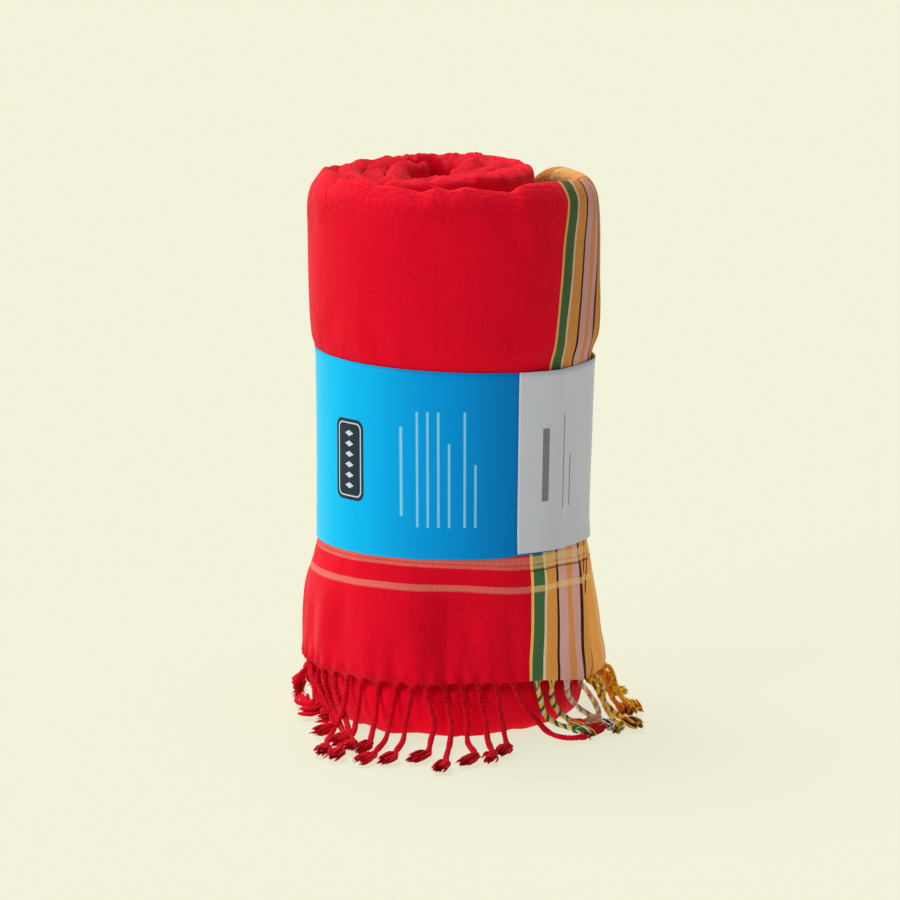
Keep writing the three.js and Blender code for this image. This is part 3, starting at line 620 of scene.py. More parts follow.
def leaf_grid(inset, start, foot, seed):
    wound = (start + np.array([0, 0.6, 1.4, 2.4, 4, 6, 8.5, 11.5, 15, 19, 23]))[:, None]
    along = np.radians(wound) * ALONG_RADIUS
    shoulder = crest_height(wound) - FOLD_RISE
    z = mix(foot, shoulder, np.linspace(0, 1, 70)[None, :])
    ripple = 0.35 * noise(z / 9 + along / 30, z / 30, seed) * np.exp(-(wound - start) / 9)
    stood = wrap_radius(wound) - 7 + curve(FOOT_BULGE, z)
    hem = hem_height(FREE_END - wound)
    relief = np.minimum(face_relief(wound, np.maximum(z, hem), along), 0.3)
    outer = np.minimum(face_radius(wound, z) + relief, stood + 1.0) - inset
    edge_wave = 0.8 * noise(z / 22, z * 0, seed + 5) * np.exp(-(wound - start) / 3)
    face = roll_point(wound + edge_wave, outer + ripple, z)
    half = BUNDLE / 2 - inset
    middle = wrap_radius(wound) - BUNDLE / 2
    angle = np.linspace(0, np.pi, 12)[None, 1:-1]
    top = roll_point(
        wound, middle + half * np.cos(angle), shoulder + (FOLD_RISE - inset) * np.sin(angle)
    )
    back_z = mix(shoulder, foot, np.linspace(0, 1, 70)[None, :])
    ripple = 0.3 * noise(back_z / 10 + 3, back_z / 30, seed + 9) * np.exp(-(wound - start) / 9)
    leg = roll_point(wound + edge_wave[:, ::-1], middle - half - ripple * 0.5, back_z)
    leaf = np.concatenate([face, top, leg], axis=1)
    return rounded(leaf, np.broadcast_to(wound, leaf.shape[:2]), middle)


leaf_points, leaf_faces, leaf_uv = [], [], []
offset = 0
for leaf in LEAVES:
    grid = leaf_grid(**leaf)
    length = running_length(grid, 0)
    uv = np.stack([112 - length, climbed(grid) + 30], -1)
    grid, uv = turned_edges(grid, uv, ["first_column", "first_row", "last_row"], CLOTH * 0.9, 4)
    leaf_points.append(grid.reshape(-1, 3))
    leaf_uv.append(uv.reshape(-1, 2))
    leaf_faces.append(grid_faces(*grid.shape[:2]) + offset)
    offset += grid.shape[0] * grid.shape[1]
layer_edges = make_object(
    "layer_edges", np.concatenate(leaf_points), np.concatenate(leaf_faces), np.concatenate(leaf_uv)
)

# ---- The paper band ----
BAND_GREY_TO = 150  # azimuth at which the grey end gives way to blue, out of sight


def band_inside(azimuth, z):
    def radius_at(a):
        return face_radius((FREE_END - a + TURN) % TURN, z) + BAND_CLEAR

    a = azimuth % TURN
    share = (a - BRIDGE[0]) / (BRIDGE[1] - BRIDGE[0])
    bridged = mix(radius_at(BRIDGE[0] + z * 0), radius_at(BRIDGE[1] + z * 0), share)
    inside = (a > BRIDGE[0]) & (a < BRIDGE[1])
    return np.where(inside, bridged, radius_at(a))


def band_grid():
    first, last = BAND_LAP[0], BAND_LAP[1] + TURN
    azimuth = np.concatenate([[first], np.arange(first + 1, last, 1.5), [last]])[:, None]
    lean = BAND_TILT * np.sin(np.radians(azimuth))
    lapped = 1 - smooth(azimuth, BAND_LAP[1] - 1, BAND_LAP[1] + 5)
    bottom = BAND_BOTTOM + 1.1 * (1 - smooth(azimuth, first + 4, first + 60))
    under = smooth(azimuth, TURN + first - 6, TURN + first)
    bottom = bottom + 0.25 * under
    top = BAND_TOP - lean - 0.25 * under
    z = mix(bottom, top, np.linspace(0, 1, 26)[None, :])
    azimuth = azimuth + z * 0
    # The paper bows a little between the cloth's high places.
    bow = 0.12 * noise(azimuth / 21, z / 60, 51) * (1 - under)
    for centre, spread, height in ((45, 9, 0.9), (84, 11, 1.1), (325, 14, 0.25), (372, 10, 0.2)):
        bow = bow + height * bell((azimuth - centre) / spread)
    wrap = band_inside(azimuth, z) + 0.5 * lapped + bow - 0.12 * under
    angle = np.radians(azimuth)
    grid = np.stack([wrap * np.sin(angle), -wrap * np.cos(angle), z], -1)
    u = azimuth * math.pi / 180 * BAND_RADIUS
    return grid, np.stack([u, z], -1)


band, band_uv = band_grid()
# The grid's normals point to the roll's axis, so the paper's thickness lies inside this face.
inner_side = band + grid_normals(band) * PAPER
ring = np.concatenate([band, inner_side[:, ::-1], band[:, :1]], axis=1)
ring_uv = np.concatenate([band_uv, band_uv[:, ::-1], band_uv[:, :1]], axis=1)
end_faces = []
columns, rows = ring.shape[:2]
half = band.shape[1]
for column in (0, columns - 1):
    start = column * rows
    for j in range(half - 1):
        quad = [start + j, start + j + 1, start + 2 * half - 2 - j, start + 2 * half - 1 - j]
        end_faces.append(quad if column else quad[::-1])
faces = np.concatenate([grid_faces(columns, rows), np.array(end_faces)])
paper_band = make_object("paper_wrapper", ring, faces, ring_uv)
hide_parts("paper_band")


# ---- Tassels ----
def path_length(line):
    """Distance along a line to each of its points."""
    return np.concatenate([[0], np.cumsum(np.linalg.norm(np.diff(line, axis=0), axis=1))])


class Yarns:
    """Gathers tubes into one mesh, with a colour for each point."""

    def __init__(self):
        self.points, self.faces, self.colours, self.uv, self.count = [], [], [], [], 0

    def tube(self, line, radius, colour, sides=6):
        line = np.asarray(line, float)
        tangent = unit(np.gradient(line, axis=0))
        across = unit(np.cross(tangent, TUBE_GUIDE))
        other = np.cross(tangent, across)
        radius = np.broadcast_to(np.asarray(radius, float), len(line))[:, None, None]
        angle = np.linspace(0, 2 * np.pi, sides, endpoint=False)[None, :, None]
        ring = line[:, None] + radius * (
            np.cos(angle) * across[:, None] + np.sin(angle) * other[:, None]
        )
        ring[..., 2] = np.maximum(ring[..., 2], 0.2)
        n = len(line)
        self.points.append(ring.reshape(-1, 3))
        self.faces.append(grid_faces(n, sides, closed=True) + self.count)
        self.colours.append(np.broadcast_to(np.asarray(colour, float), (n * sides, 3)))
        length = path_length(line)
        uv = np.stack(
            np.broadcast_arrays(np.arange(sides)[None, :] / sides, length[:, None]), -1
        )
        self.uv.append(uv.reshape(-1, 2))
        self.count += n * sides

    def make(self, name):
        obj = make_object(
            name,
            np.concatenate(self.points),
            np.concatenate(self.faces),
            np.concatenate(self.uv),
        )
        colours = np.concatenate(self.colours)
        rgba = np.concatenate([colours, np.ones((len(colours), 1))], 1).astype(np.float32)
        layer = obj.data.color_attributes.new("yarn", "FLOAT_COLOR", "POINT")
        layer.data.foreach_set("color", rgba.ravel())
        return obj


def smooth_line(knots, step):
    """A Catmull-Rom line through the knots, resampled evenly."""
    knots = np.asarray(knots, float)
    padded = np.concatenate([[2 * knots[0] - knots[1]], knots, [2 * knots[-1] - knots[-2]]])
    out = []
    for i in range(1, len(padded) - 2):
        p0, p1, p2, p3 = padded[i - 1 : i + 3]
        t = np.linspace(0, 1, 24, endpoint=False)[:, None]
        out.append(
            0.5
            * (
                2 * p1
                + (p2 - p0) * t
                + (2 * p0 - 5 * p1 + 4 * p2 - p3) * t**2
                + (3 * p1 - p0 - 3 * p2 + p3) * t**3
            )
        )
    line = np.concatenate(out + [knots[-1:]])
    length = path_length(line)
    n = max(4, int(length[-1] / step))
    at = np.linspace(0, length[-1], n + 1)
    return np.stack([np.interp(at, length, line[:, k]) for k in range(3)], -1)


def frames(line):
    """Unit tangents and two carried-along cross directions for each point of a line."""
    tangent = unit(np.gradient(line, axis=0))
    across = np.zeros_like(line)
    start = np.cross(tangent[0], [0.0, 0.0, 1.0])
    if np.linalg.norm(start) < 0.2:
        start = np.cross(tangent[0], [1.0, 0.0, 0.0])
    across[0] = start / np.linalg.norm(start)
    for i in range(1, len(line)):
        carried = across[i - 1] - tangent[i] * (across[i - 1] @ tangent[i])
        across[i] = carried / np.linalg.norm(carried)
    return tangent, across, np.cross(tangent, across)


def hem_radius(azimuth):
    wound = np.array([[FREE_END - azimuth]], float)
    z = hem_height(azimuth) + 0 * wound
    pinched = face_relief(wound, z, np.radians(wound) * ALONG_RADIUS)
    return float((face_radius(wound, z) + pinched)[0, 0])


def polar(azimuth, radius, z):
    a = math.radians(azimuth)
    return np.array([radius * math.sin(a), -radius * math.cos(a), z])


def tassel_route(root, bend, tip, reach, wobble):
    hang = hem_radius(root) - 0.75
    out = max(TASSEL_BEND_RADIUS, hang + 2)
    lie = 1.75
    return [
        polar(root, hang - 0.2, float(hem_height(root)) - 1.2),
        polar(mix(root, bend, 0.4), mix(hang, out, 0.3), 14),
        polar(bend, out, TASSEL_BEND_HEIGHT),
        polar(mix(bend, tip, 0.25) + wobble[0], mix(out, reach, 0.22), lie + 0.6),
        polar(mix(bend, tip, 0.6) + wobble[1], mix(out, reach, 0.6), lie),
        polar(tip, reach, lie),
    ]


def add_tassel(yarns, row, colours, accent, rng):
    root = row[0]
    wobble = rng.uniform(-0.9, 0.9, 2)
    if root in HAND_LAID:
        knots = [polar(root, hem_radius(root) - 0.95, float(hem_height(root)) - 1.2)]
        knots += [polar(*point) for point in HAND_LAID[root]]
    else:
        knots = tassel_route(*row, wobble)
    line = smooth_line(knots, 0.6)
    n = len(line)
    tangent, across, other = frames(line)
    step = np.linalg.norm(np.diff(line, axis=0), axis=1).mean()
    length = np.arange(n) * step
    knot_at = n - int(rng.uniform(14.5, 17.5) / step)
    phase = rng.uniform(0, 2 * np.pi)
    cord = slice(0, knot_at + 2)
    swell = 1 + 0.08 * np.sin(length / 4 + phase) + 0.05 * np.sin(length / 1.7 + 2 * phase)
    from_root = np.minimum(1, 0.72 + length / 9)

    def beside(turn, away):
        around = np.cos(turn)[:, None] * across + np.sin(turn)[:, None] * other
        return line + around * away[:, None]

    for ply in range(3):
        turn = phase + ply * 2 * np.pi / 3 + 2 * np.pi * length / CORD_TWIST
        strand = beside(turn, CORD_PLY * 0.78 * swell * from_root)
        yarns.tube(strand[cord], (CORD_PLY * swell)[cord], colours[ply])
    if accent is not None:
        turn = phase + np.pi / 3 + 2 * np.pi * length / CORD_TWIST
        yarns.tube(beside(turn, CORD_PLY * 1.15 * swell)[cord][::2], ACCENT, accent, sides=5)
    # The warp threads gather from the hem into the cord.
    hem = float(hem_height(root))
    for k in range(5):
        spread = (k - 2) / 2
        azimuth = root + spread * rng.uniform(1.5, 2.1)
        top = polar(azimuth, hem_radius(azimuth) - 0.45, hem + 0.3 - 0.5 * (1 - abs(spread)))
        middle = polar(mix(azimuth, root, 0.6), hem_radius(root) - 0.6, hem - 2.2)
        join = line[6] + across[6] * spread * 0.4
        thread = smooth_line([top, middle, join], 0.9)
        yarns.tube(thread, GATHERED, colours[k % 3], sides=5)
    # The knot: the cord wound twice round itself.
    turn = np.linspace(0, 2 * np.pi * 2.1, 26)
    lift = np.linspace(-1.2, 1.2, 26)
    swell = 0.62 + 0.4 * np.sin(np.linspace(0.25, np.pi - 0.25, 26))
    coil = line[knot_at] + tangent[knot_at] * lift[:, None]
    coil = coil + across[knot_at] * (np.cos(turn + phase) * swell)[:, None]
    coil = coil + other[knot_at] * (np.sin(turn + phase) * swell)[:, None]
    coil[:, 2] = np.maximum(coil[:, 2], 1.0)
    yarns.tube(coil, KNOT_COIL, colours[0])
    # The loose tuft past the knot: a flat brush of threads, bent to one side.
    rest = line[knot_at:]
    t = np.linspace(0, 1, len(rest))
    side = unit(np.cross(tangent[knot_at:], [0.0, 0.0, 1.0]))
    sweep = rng.uniform(-2.0, 4.2)
    if -50 < root < 22:  # at the front the tufts are swept to the left
        sweep = 2.6 + 0.7 * sweep
    bent = rest + side * (sweep * t**1.5)[:, None]
    bent[:, 2] += 0.9 * smooth(t, 0, 0.4)
    wide = 0.9 + 2.1 * smooth(t, 0, 0.45) - 0.3 * smooth(t, 0.85, 1)
    tuft = colours if accent is None else colours + [accent]
    for k in range(TUFT_THREADS):
        turn, far = rng.uniform(0, 2 * np.pi), rng.uniform(0, 1) ** 0.5
        wave = np.sin(t * rng.uniform(3, 7) + rng.uniform(0, 6)) * 0.28 * t
        thread = bent + side * (far * np.cos(turn) * wide + wave)[:, None]
        thread[:, 2] += far * np.sin(turn) * wide * 0.62
        keep = max(5, int(len(rest) * rng.uniform(0.78, 1.0)))
        thread = thread[:keep]
        thread[:, 2] = np.maximum(thread[:, 2], 0.4 + 0.3 * rng.uniform())
        pick = np.unique(np.linspace(0, keep - 1, 8).astype(int))
        taper = np.linspace(1.1, 0.95, len(pick))
        taper[-1] = 0.15
        # A random tone for each thread, times 1.1 of painted light against the shade inside the
        # tuft.
        tone = 1.1 * rng.uniform(0.85, 1.12)
        colour = np.clip(np.asarray(tuft[k % len(tuft)]) * tone, 0, 1)
        yarns.tube(thread[pick], THREAD * taper, colour, sides=4)


def srgb(r, g, b):
    c = np.array([r, g, b], float) / 255
    return np.where(c <= 0.04045, c / 12.92, ((c + 0.055) / 1.055) ** 2.4)


YARN = {
    "red": srgb(224, 8, 38),
    "deep": srgb(206, 5, 32),
    "green": srgb(60, 112, 66),
    "yellow": srgb(250, 202, 60),
    "gold": srgb(246, 172, 40),
    "orange": srgb(244, 126, 26),
    "brown": srgb(150, 96, 40),
    "white": srgb(232, 220, 204),
    "pink": srgb(214, 146, 146),
    "black": srgb(48, 34, 28),
}
rng = np.random.default_rng(7)
red_yarns = Yarns()
for row in FIELD_TASSELS:
    reds = [YARN["red"], YARN["deep"], YARN["red"] * 0.92]
    add_tassel(red_yarns, row, reds, None, rng)
tassels_field = red_yarns.make("tassels_field")
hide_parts("fringe_field")

# Colours of each tassel of the border, the last one a thin thread between the plies.
BORDER_MIXES = [
    ("green", "yellow", "white", "black"), ("yellow", "green", "white", "red"),
    ("white", "pink", "white", "black"), ("pink", "gold", "white", "black"),
    ("gold", "brown", "yellow", "black"), ("yellow", "white", "gold", "green"),
    ("orange", "gold", "orange", "brown"), ("yellow", "gold", "yellow", "orange"),
    ("gold", "yellow", "orange", "brown"), ("gold", "orange", "gold", "yellow"),
    ("orange", "gold", "yellow", "brown"), ("gold", "yellow", "gold", "orange"),
    ("yellow", "orange", "gold", "brown"), ("gold", "yellow", "gold", "orange"),
]
striped_yarns = Yarns()
for row, names in zip(BORDER_TASSELS, BORDER_MIXES):
    plies = [YARN[name] for name in names]
    add_tassel(striped_yarns, row, plies[:3], plies[3], rng)
tassels_border = striped_yarns.make("tassels_border")
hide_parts("fringe_border")


# ---- Materials ----
class Nodes:
    """Short calls for building a material's nodes."""

    def __init__(self, name):
        self.material = bpy.data.materials.new(name)
        self.material.use_nodes = True
        self.tree = self.material.node_tree
        self.tree.nodes.clear()
        self.out = self.tree.nodes.new("ShaderNodeOutputMaterial")
        self.bsdf = self.tree.nodes.new("ShaderNodeBsdfPrincipled")
        self.tree.links.new(self.bsdf.outputs[0], self.out.inputs[0])

    def set(self, socket, value):
        if isinstance(value, bpy.types.NodeSocket):
            self.tree.links.new(value, socket)
        else:
            socket.default_value = value

    def node(self, kind, **settings):
        made = self.tree.nodes.new(kind)
        for key, value in settings.items():
            setattr(made, key, value)
        return made

    def math(self, operation, a, b=None, clamp=False):
        made = self.node("ShaderNodeMath", operation=operation, use_clamp=clamp)
        self.set(made.inputs[0], a)
        if b is not None:
            self.set(made.inputs[1], b)
        return made.outputs[0]

    def between(self, value, low, high, soft):
        """1 where value lies from low to high, with soft edges."""
        rise = self.ramp_up(value, low - soft, low + soft)
        fall = self.ramp_up(value, high - soft, high + soft)
        return self.math("SUBTRACT", rise, fall, clamp=True)

    def ramp_up(self, value, low, high):
        made = self.node("ShaderNodeMapRange", interpolation_type="SMOOTHSTEP")
        self.set(made.inputs["Value"], value)
        made.inputs["From Min"].default_value = low
        made.inputs["From Max"].default_value = high
        return made.outputs["Result"]

    def mix(self, factor, a, b, blend="MIX"):
        made = self.node("ShaderNodeMix", data_type="RGBA", blend_type=blend)
        self.set(made.inputs["Factor"], factor)
        self.set(made.inputs[6], a)
        self.set(made.inputs[7], b)
        return made.outputs[2]

    def uv(self):
        made = self.node("ShaderNodeUVMap", uv_map="cloth")
        split = self.node("ShaderNodeSeparateXYZ")
        self.tree.links.new(made.outputs[0], split.inputs[0])
        return made.outputs[0], split.outputs[0], split.outputs[1]

    def noise(self, vector, scale, detail=2.0, rough=0.5):
        made = self.node("ShaderNodeTexNoise")
        self.set(made.inputs["Vector"], vector)
        made.inputs["Scale"].default_value = scale
        made.inputs["Detail"].default_value = detail
        made.inputs["Roughness"].default_value = rough
        return made.outputs["Fac"]

    def scaled(self, vector, factors):
        made = self.node("ShaderNodeVectorMath", operation="MULTIPLY")
        self.set(made.inputs[0], vector)
        made.inputs[1].default_value = factors
        return made.outputs[0]

    def bump(self, height, strength, distance, normal=None):
        made = self.node("ShaderNodeBump")
        made.inputs["Strength"].default_value = strength
        made.inputs["Distance"].default_value = distance
        self.set(made.inputs["Height"], height)
        if normal is not None:
            self.set(made.inputs["Normal"], normal)
        return made.outputs[0]

    def shaded(self, colour, shade):
        """The colour times the value shade."""
        grey = self.node("ShaderNodeCombineColor")
        for socket in grey.inputs:
            self.set(socket, shade)
        return self.mix(1.0, colour, grey.outputs[0], "MULTIPLY")

    def ramp(self, place, stops, high, interpolation="LINEAR"):
        """Colours along place, up to high; stops are (place, colour), the lowest first."""
        made = self.node("ShaderNodeValToRGB")
        made.color_ramp.interpolation = interpolation
        low = stops[0][0]
        share = self.math("DIVIDE", self.math("SUBTRACT", place, low), high - low, clamp=True)
        self.set(made.inputs[0], share)
        elements = made.color_ramp.elements
        elements.remove(elements[-1])
        elements[0].position, elements[0].color = 0, rgba(stops[0][1])
        for start, colour in stops[1:]:
            elements.new((start - low) / (high - low)).color = rgba(colour)
        return made.outputs[0]

    def surface(self, colour, normal, values):
        """Finishes the material; values are the surface's other sockets, by name."""
        self.set(self.bsdf.inputs["Base Color"], colour)
        self.set(self.bsdf.inputs["Normal"], normal)
        for name, value in values.items():
            self.bsdf.inputs[name].default_value = value
        return self.material


def rgba(colour):
    return (*[float(c) for c in colour], 1.0)


# Colours of the warp.
WARP = {
    "red": srgb(218, 4, 36),
    "yellow": srgb(244, 192, 104),
    "gold": srgb(230, 158, 80),
    "green": srgb(54, 110, 72),
    "cream": srgb(234, 208, 176),
    "pale": srgb(224, 174, 170),
    "black": srgb(40, 26, 24),
    "amber": srgb(226, 152, 94),
    "bright": srgb(250, 178, 92),
    "honey": srgb(246, 172, 110),
}
# Stripes of the warp: where each starts, in mm from the border's inner edge, and its colour.
STRIPES = [
    (-40, "red"), (0, "yellow"), (1.1, "green"), (6.1, "cream"), (7.5, "gold"), (12.6, "black"),
    (14.1, "pale"), (19.2, "amber"), (23.5, "pale"), (28.7, "black"), (30.5, "gold"),
    (35.9, "black"), (36.5, "gold"), (37.7, "black"), (38.4, "bright"),
    (47.5, "honey"),
    (50, "yellow"), (58, "cream"), (60, "gold"), (72, "amber"), (75, "gold"), (92, "amber"),
    (96, "gold"),
]
STRIPES_TO = 120
# Stripes of the weft near the hem, as heights along the cloth.
LOW_STRIPE, HIGH_STRIPE, PARTING, DARK_LINE = (54.9, 57.4), (63.8, 68.4), (64.9, 65.5), (62.7, 63.4)
THREAD_PITCH = 0.62  # from one thread of the weave to the next
SLUB_TONE = {"From Min": 0.25, "From Max": 0.75, "To Min": 0.83, "To Max": 1.17}
COTTON = {
    "Roughness": 0.8, "Specular IOR Level": 0.06, "Sheen Weight": 0.2, "Sheen Roughness": 0.38,
    "Sheen Tint": (1.0, 0.45, 0.42, 1),
}
TWISTED = {
    "Roughness": 0.8, "Specular IOR Level": 0.05, "Sheen Weight": 0.08, "Sheen Roughness": 0.4,
    "Sheen Tint": (1.0, 0.6, 0.5, 1),
}


def cloth_material(name):
    n = Nodes(name)
    vector, u, v = n.uv()
    # Warp colours.
    stops = [(start, WARP[colour]) for start, colour in STRIPES]
    warp = n.ramp(u, stops, STRIPES_TO, "CONSTANT")
    # Weft colour: red, with two pale stripes near the hem.
    stripe_low = n.between(v, *LOW_STRIPE, 0.3)
    stripe_high = n.between(v, *HIGH_STRIPE, 0.3)
    parting = n.math("MULTIPLY", n.between(v, *PARTING, 0.2), 0.45)
    stripe_high = n.math("SUBTRACT", stripe_high, parting, clamp=True)
    stripe = n.math("MAXIMUM", stripe_low, stripe_high)
    in_border = n.ramp_up(u, -0.3, 0.3)
    dark_line = n.math("MULTIPLY", n.between(v, *DARK_LINE, 0.15), in_border)
    pale_weft = n.mix(in_border, rgba(srgb(222, 196, 170)), rgba(srgb(244, 210, 140)))
    weft = n.mix(stripe, rgba(WARP["red"]), pale_weft)
    weft = n.mix(dark_line, weft, rgba(srgb(60, 30, 20)))
    # Plain weave: warp and weft over each other in turn.
    wave_u = n.math("SINE", n.math("MULTIPLY", u, math.pi / THREAD_PITCH))
    wave_v = n.math("SINE", n.math("MULTIPLY", v, math.pi / THREAD_PITCH))
    checker = n.math("MULTIPLY", wave_u, wave_v)
    dots_u = n.math("SINE", n.math("MULTIPLY", n.math("ADD", u, v), math.pi / 1.3))
    dots_v = n.math("SINE", n.math("MULTIPLY", n.math("SUBTRACT", u, v), math.pi / 1.3))
    dots = n.math("MULTIPLY", n.math("MULTIPLY", dots_u, dots_v), stripe)
    plain = n.math("ADD", n.math("MULTIPLY", checker, 0.07), 0.11)
    upper = n.math("MULTIPLY", n.ramp_up(v, 100, 160), 0.25)
    held_back = n.math("MULTIPLY", in_border, n.math("SUBTRACT", 0.72, upper))
    plain = n.math("MULTIPLY", plain, n.math("SUBTRACT", 1, held_back))
    extra = n.math("ADD", n.math("MULTIPLY", in_border, 0.36), 0.13)
    extra = n.math("ADD", extra, n.math("MULTIPLY", dark_line, 0.2))
    pale_share = n.math("MULTIPLY", n.math("MAXIMUM", stripe, dark_line), extra)
    share = n.math("ADD", plain, pale_share)
    share = n.math("ADD", share, n.math("MULTIPLY", dots, 0.07), clamp=True)
    colour = n.mix(share, warp, weft)
    # Uneven threads: long slubs each way, and a broad unevenness of the dye.
    slub_warp = n.noise(n.scaled(vector, (1.5, 0.05, 1)), 1.0, 4.0, 0.65)
    slub_weft = n.noise(n.scaled(vector, (0.06, 2.0, 1)), 1.0, 4.0, 0.65)
    cloud = n.noise(n.scaled(vector, (0.03, 0.03, 1)), 1.0, 2.0)
    slubs = n.math("ADD", n.math("MULTIPLY", slub_warp, 0.55), n.math("MULTIPLY", slub_weft, 0.45))
    tone = n.node("ShaderNodeMapRange")
    n.set(tone.inputs["Value"], slubs)
    for key, value in SLUB_TONE.items():
        tone.inputs[key].default_value = value
    clouded = n.math("ADD", n.math("MULTIPLY", cloud, 0.16), 0.92)
    shade = n.math("MULTIPLY", tone.outputs[0], clouded)
    # The border is painted darker towards the top (painted shade) and lighter by the hem (painted
    # light).
    painted_shade_top = n.math("MULTIPLY", n.ramp_up(v, 90, 165), -0.26)
    painted_light_low = n.math("SUBTRACT", 0.1, n.math("MULTIPLY", n.ramp_up(v, 55, 80), 0.1))
    border_painted_light_and_shade = n.math("MULTIPLY", in_border, n.math("ADD", painted_shade_top, painted_light_low))
    shade = n.math("MULTIPLY", shade, n.math("ADD", border_painted_light_and_shade, 1))
    # The inner turns are painted lighter on top (painted light, for light lost between the ridges)
    # and darker down in the roll's hole (painted shade).
    # Positive on top (painted light), negative deep in the hole (painted shade).
    depth = n.math("SUBTRACT", 0.3, n.math("MULTIPLY", n.ramp_up(v, 218, 236), 0.6))
    inner_painted_light_and_shade = n.math("MULTIPLY", n.ramp_up(n.math("MULTIPLY", u, -1), 200, 235), depth)
    shade = n.math("MULTIPLY", shade, n.math("ADD", inner_painted_light_and_shade, 1))
    # Bump: the weave's bumps, the slubs, and a soft crumple.
    weave = n.bump(checker, 0.55, 0.00009)
    slub_bump = n.bump(slubs, 0.5, 0.0003, weave)
    crumple = n.noise(n.scaled(vector, (0.12, 0.09, 1)), 1.0, 4.0, 0.6)
    normal = n.bump(crumple, 0.35, 0.0012, slub_bump)
    creased = n.noise(n.scaled(vector, (0.5, 0.5, 1)), 1.0, 3.0, 0.6)
    creased = n.math("MULTIPLY", creased, n.ramp_up(v, 188, 204))
    normal = n.bump(creased, 0.65, 0.0018, normal)
    return n.surface(n.shaded(colour, shade), normal, COTTON)


cloth = cloth_material("kikoy_cotton")
for piece in (cloth_border, cloth_field, folded_layers, layer_edges):
    piece.data.materials.append(cloth)


def yarn_material(name):
    n = Nodes(name)
    vector, u, v = n.uv()
    attribute = n.node("ShaderNodeAttribute", attribute_name="yarn")
    # Fibres spiral round each ply.
    spiral = n.math("ADD", n.math("MULTIPLY", v, 2.4), n.math("MULTIPLY", u, 6.2832))
    fibres = n.math("SINE", n.math("MULTIPLY", spiral, 4.0))
    fuzz = n.noise(n.scaled(vector, (6, 1.4, 1)), 1.0, 3.0)
    shade = n.math("ADD", n.math("MULTIPLY", fibres, 0.05), n.math("MULTIPLY", fuzz, 0.5))
    shade = n.math("ADD", shade, 0.76)
    colour = n.shaded(attribute.outputs["Color"], shade)
    return n.surface(colour, n.bump(n.math("ADD", fibres, fuzz), 0.6, 0.00012), TWISTED)


yarn = yarn_material("tassel_yarn")
tassels_field.data.materials.append(yarn)
tassels_border.data.materials.append(yarn)


def rounded_box(n, x, y, half_width, half_height, corner, soft):
    """1 inside a rounded rectangle about the origin of x and y."""
    dx = n.math("MAXIMUM", n.math("SUBTRACT", n.math("ABSOLUTE", x), half_width - corner), 0)
    dy = n.math("MAXIMUM", n.math("SUBTRACT", n.math("ABSOLUTE", y), half_height - corner), 0)
    away = n.math("SQRT", n.math("ADD", n.math("MULTIPLY", dx, dx), n.math("MULTIPLY", dy, dy)))
    return n.math("SUBTRACT", 1, n.ramp_up(away, corner - soft, corner + soft), clamp=True)


BADGE = {"azimuth": -48.8, "z": 103, "half_width": 7.6, "half_height": 15.5, "corner": 3.4}


def paper_material(name):
    n = Nodes(name)
    vector, u, v = n.uv()
    scale = math.pi / 180 * BAND_RADIUS
    is_grey = n.math("LESS_THAN", u, BAND_GREY_TO * scale)
    # The blue ramp carries painted light, brightest at the left of the front.
    stops = [(azimuth * scale, srgb(*blue)) for azimuth, blue in PAPER_BLUES_PAINTED_LIGHT]
    colour = n.mix(is_grey, n.ramp(u, stops, stops[-1][0]), rgba(srgb(203, 207, 222)))
    # A plain dark badge with a pale line inside its edge and a row of lozenges.
    x = n.math("SUBTRACT", u, (BADGE["azimuth"] + 360) * scale)
    y = n.math("SUBTRACT", v, BADGE["z"])
    w, h, c = BADGE["half_width"], BADGE["half_height"], BADGE["corner"]
    badge = rounded_box(n, x, y, w, h, c, 0.12)
    colour = n.mix(badge, colour, rgba(srgb(38, 52, 66)))
    line = n.math(
        "SUBTRACT",
        rounded_box(n, x, y, w - 1.3, h - 1.3, c - 1, 0.1),
        rounded_box(n, x, y, w - 1.8, h - 1.8, c - 1.3, 0.1),
        clamp=True,
    )
    colour = n.mix(line, colour, rgba(srgb(200, 208, 214)))
    folded = n.math("SUBTRACT", n.math("PINGPONG", n.math("ADD", y, 60), 4.0), 2.0)
    tall = n.math("MULTIPLY", n.math("ABSOLUTE", folded), 2)
    lozenge = n.math("ADD", n.math("ABSOLUTE", x), tall)
    lozenge = n.math("SUBTRACT", 1, n.ramp_up(lozenge, 2.2, 2.5), clamp=True)
    inside = n.math("LESS_THAN", n.math("ABSOLUTE", y), h - 3)
    lozenge = n.math("MULTIPLY", lozenge, inside)
    colour = n.mix(lozenge, colour, rgba(srgb(200, 208, 214)))
    # Pale plain rules stand in for the printed lines.
    rules = None
    for centre, bottom, top, width in PRINT_RULES:
        x0 = (centre if centre > 27 else centre + 360) * scale
        rule = n.math(
            "MULTIPLY", n.between(u, x0 - width, x0 + width, 0.12), n.between(v, bottom, top, 0.15)
        )
        rules = rule if rules is None else n.math("MAXIMUM", rules, rule)
    ink = n.mix(is_grey, rgba(srgb(150, 214, 240)), rgba(srgb(70, 74, 80)))
    colour = n.mix(n.math("MULTIPLY", rules, 0.72), colour, ink)
    speck = n.noise(n.scaled(vector, (0.9, 0.9, 1)), 1.0, 3.0)
    fibre = n.math("ADD", n.math("MULTIPLY", speck, 0.06), 0.97)
    broad = n.noise(n.scaled(vector, (0.05, 0.03, 1)), 1.0, 2.0)
    fine = n.bump(speck, 0.15, 0.0001)
    values = {"Roughness": 0.36, "Specular IOR Level": 0.05}
    return n.surface(n.shaded(colour, fibre), n.bump(broad, 0.25, 0.001, fine), values)


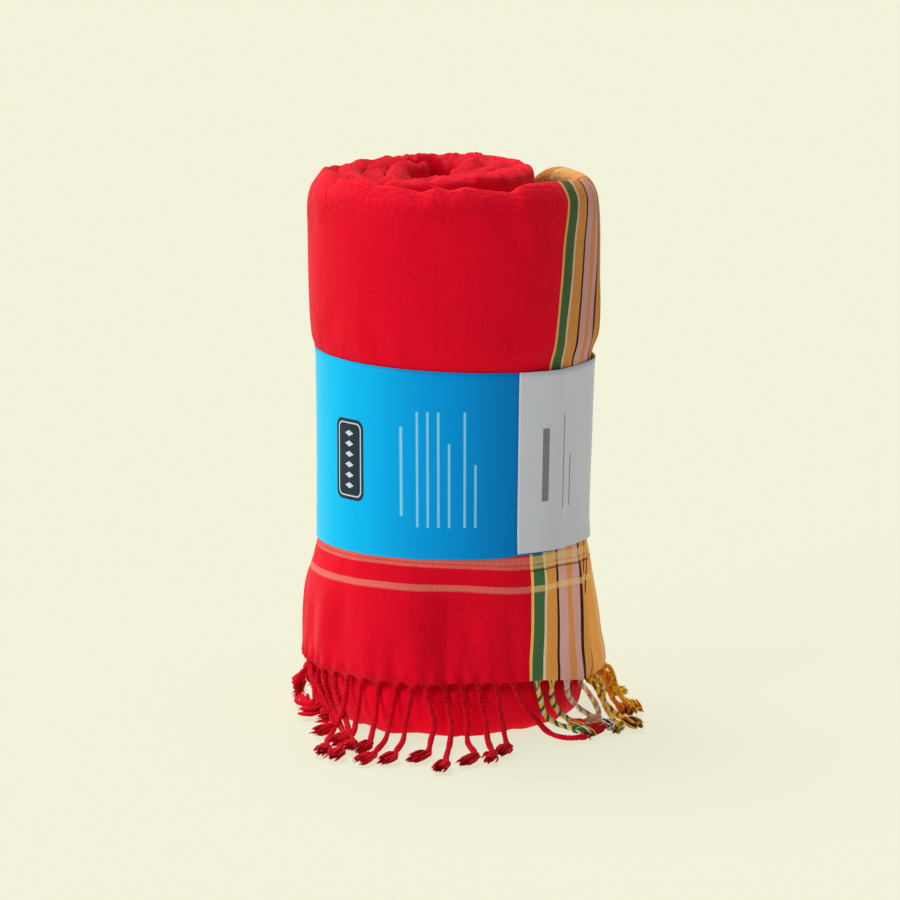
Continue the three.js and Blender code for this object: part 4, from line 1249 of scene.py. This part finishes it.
# The printed blue, from azimuth (+360) to azimuth, with painted light on it: brightest at the left
# of the front, where the key light falls.
PAPER_BLUES_PAINTED_LIGHT = [
    (200, (0, 176, 226)), (286, (0, 190, 236)), (305, (0, 182, 236)), (322, (0, 174, 238)),
    (344, (0, 154, 228)), (360, (0, 144, 222)), (384, (0, 125, 206)), (412, (0, 112, 190)),
]
# Rules on the paper: azimuth, lowest and highest point, half width.
PRINT_RULES = [
    (-22, 84, 118, 0.55), (-15, 80, 124, 0.45), (-10.5, 80, 124, 0.45), (-6, 80, 124, 0.45),
    (-1.5, 80, 112, 0.45), (5, 80, 124, 0.45), (9.5, 80, 104, 0.45),
    (41, 88, 116, 1.5), (52, 84, 120, 0.35), (58, 84, 104, 0.35),
]
paper = paper_material("printed_paper")
paper_band.data.materials.append(paper)

# ---- Stage, light and camera ----
scene = bpy.context.scene
scene.view_settings.view_transform = "Standard"
scene.view_settings.look = "None"
scene.view_settings.exposure = 0
scene.view_settings.gamma = 1

bpy.ops.mesh.primitive_plane_add(size=40, location=(0, 0, 0))
floor = bpy.context.active_object
floor.name = "floor"
n = Nodes("floor")
pale = srgb(242, 241, 217)
n.bsdf.inputs["Base Color"].default_value = rgba(pale * 0.15)
n.bsdf.inputs["Roughness"].default_value = 1.0
n.bsdf.inputs["Specular IOR Level"].default_value = 0.0
n.bsdf.inputs["Emission Color"].default_value = rgba(pale)
n.bsdf.inputs["Emission Strength"].default_value = 0.79
floor.data.materials.append(n.material)

world = bpy.data.worlds.new("studio")
scene.world = world
world.use_nodes = True
background = world.node_tree.nodes["Background"]
background.inputs[0].default_value = (1.0, 0.99, 0.97, 1)
background.inputs[1].default_value = 0.40


def sun(name, azimuth, elevation, strength, angle):
    data = bpy.data.lights.new(name, "SUN")
    data.energy = strength
    data.angle = math.radians(angle)
    obj = bpy.data.objects.new(name, data)
    a, e = math.radians(azimuth), math.radians(elevation)
    back = Vector((math.sin(a) * math.cos(e), -math.cos(a) * math.cos(e), math.sin(e)))
    obj.rotation_mode = "QUATERNION"
    obj.rotation_quaternion = back.to_track_quat("Z", "Y")
    scene.collection.objects.link(obj)


sun("key", -58, 16, 1.55, 45)
sun("rim", -105, 12, 0.32, 30)
sun("top", -150, 66, 3.1, 40)

camera = bpy.data.objects.new("camera", bpy.data.cameras.new("camera"))
scene.collection.objects.link(camera)
camera.location = (-0.001, -1.950, 0.472)
aim = Vector((-0.001, 0, 0.100)) - camera.location
camera.rotation_mode = "QUATERNION"
camera.rotation_quaternion = aim.to_track_quat("-Z", "Y")
camera.data.lens = 207.3
camera.data.sensor_width = 36
scene.camera = camera
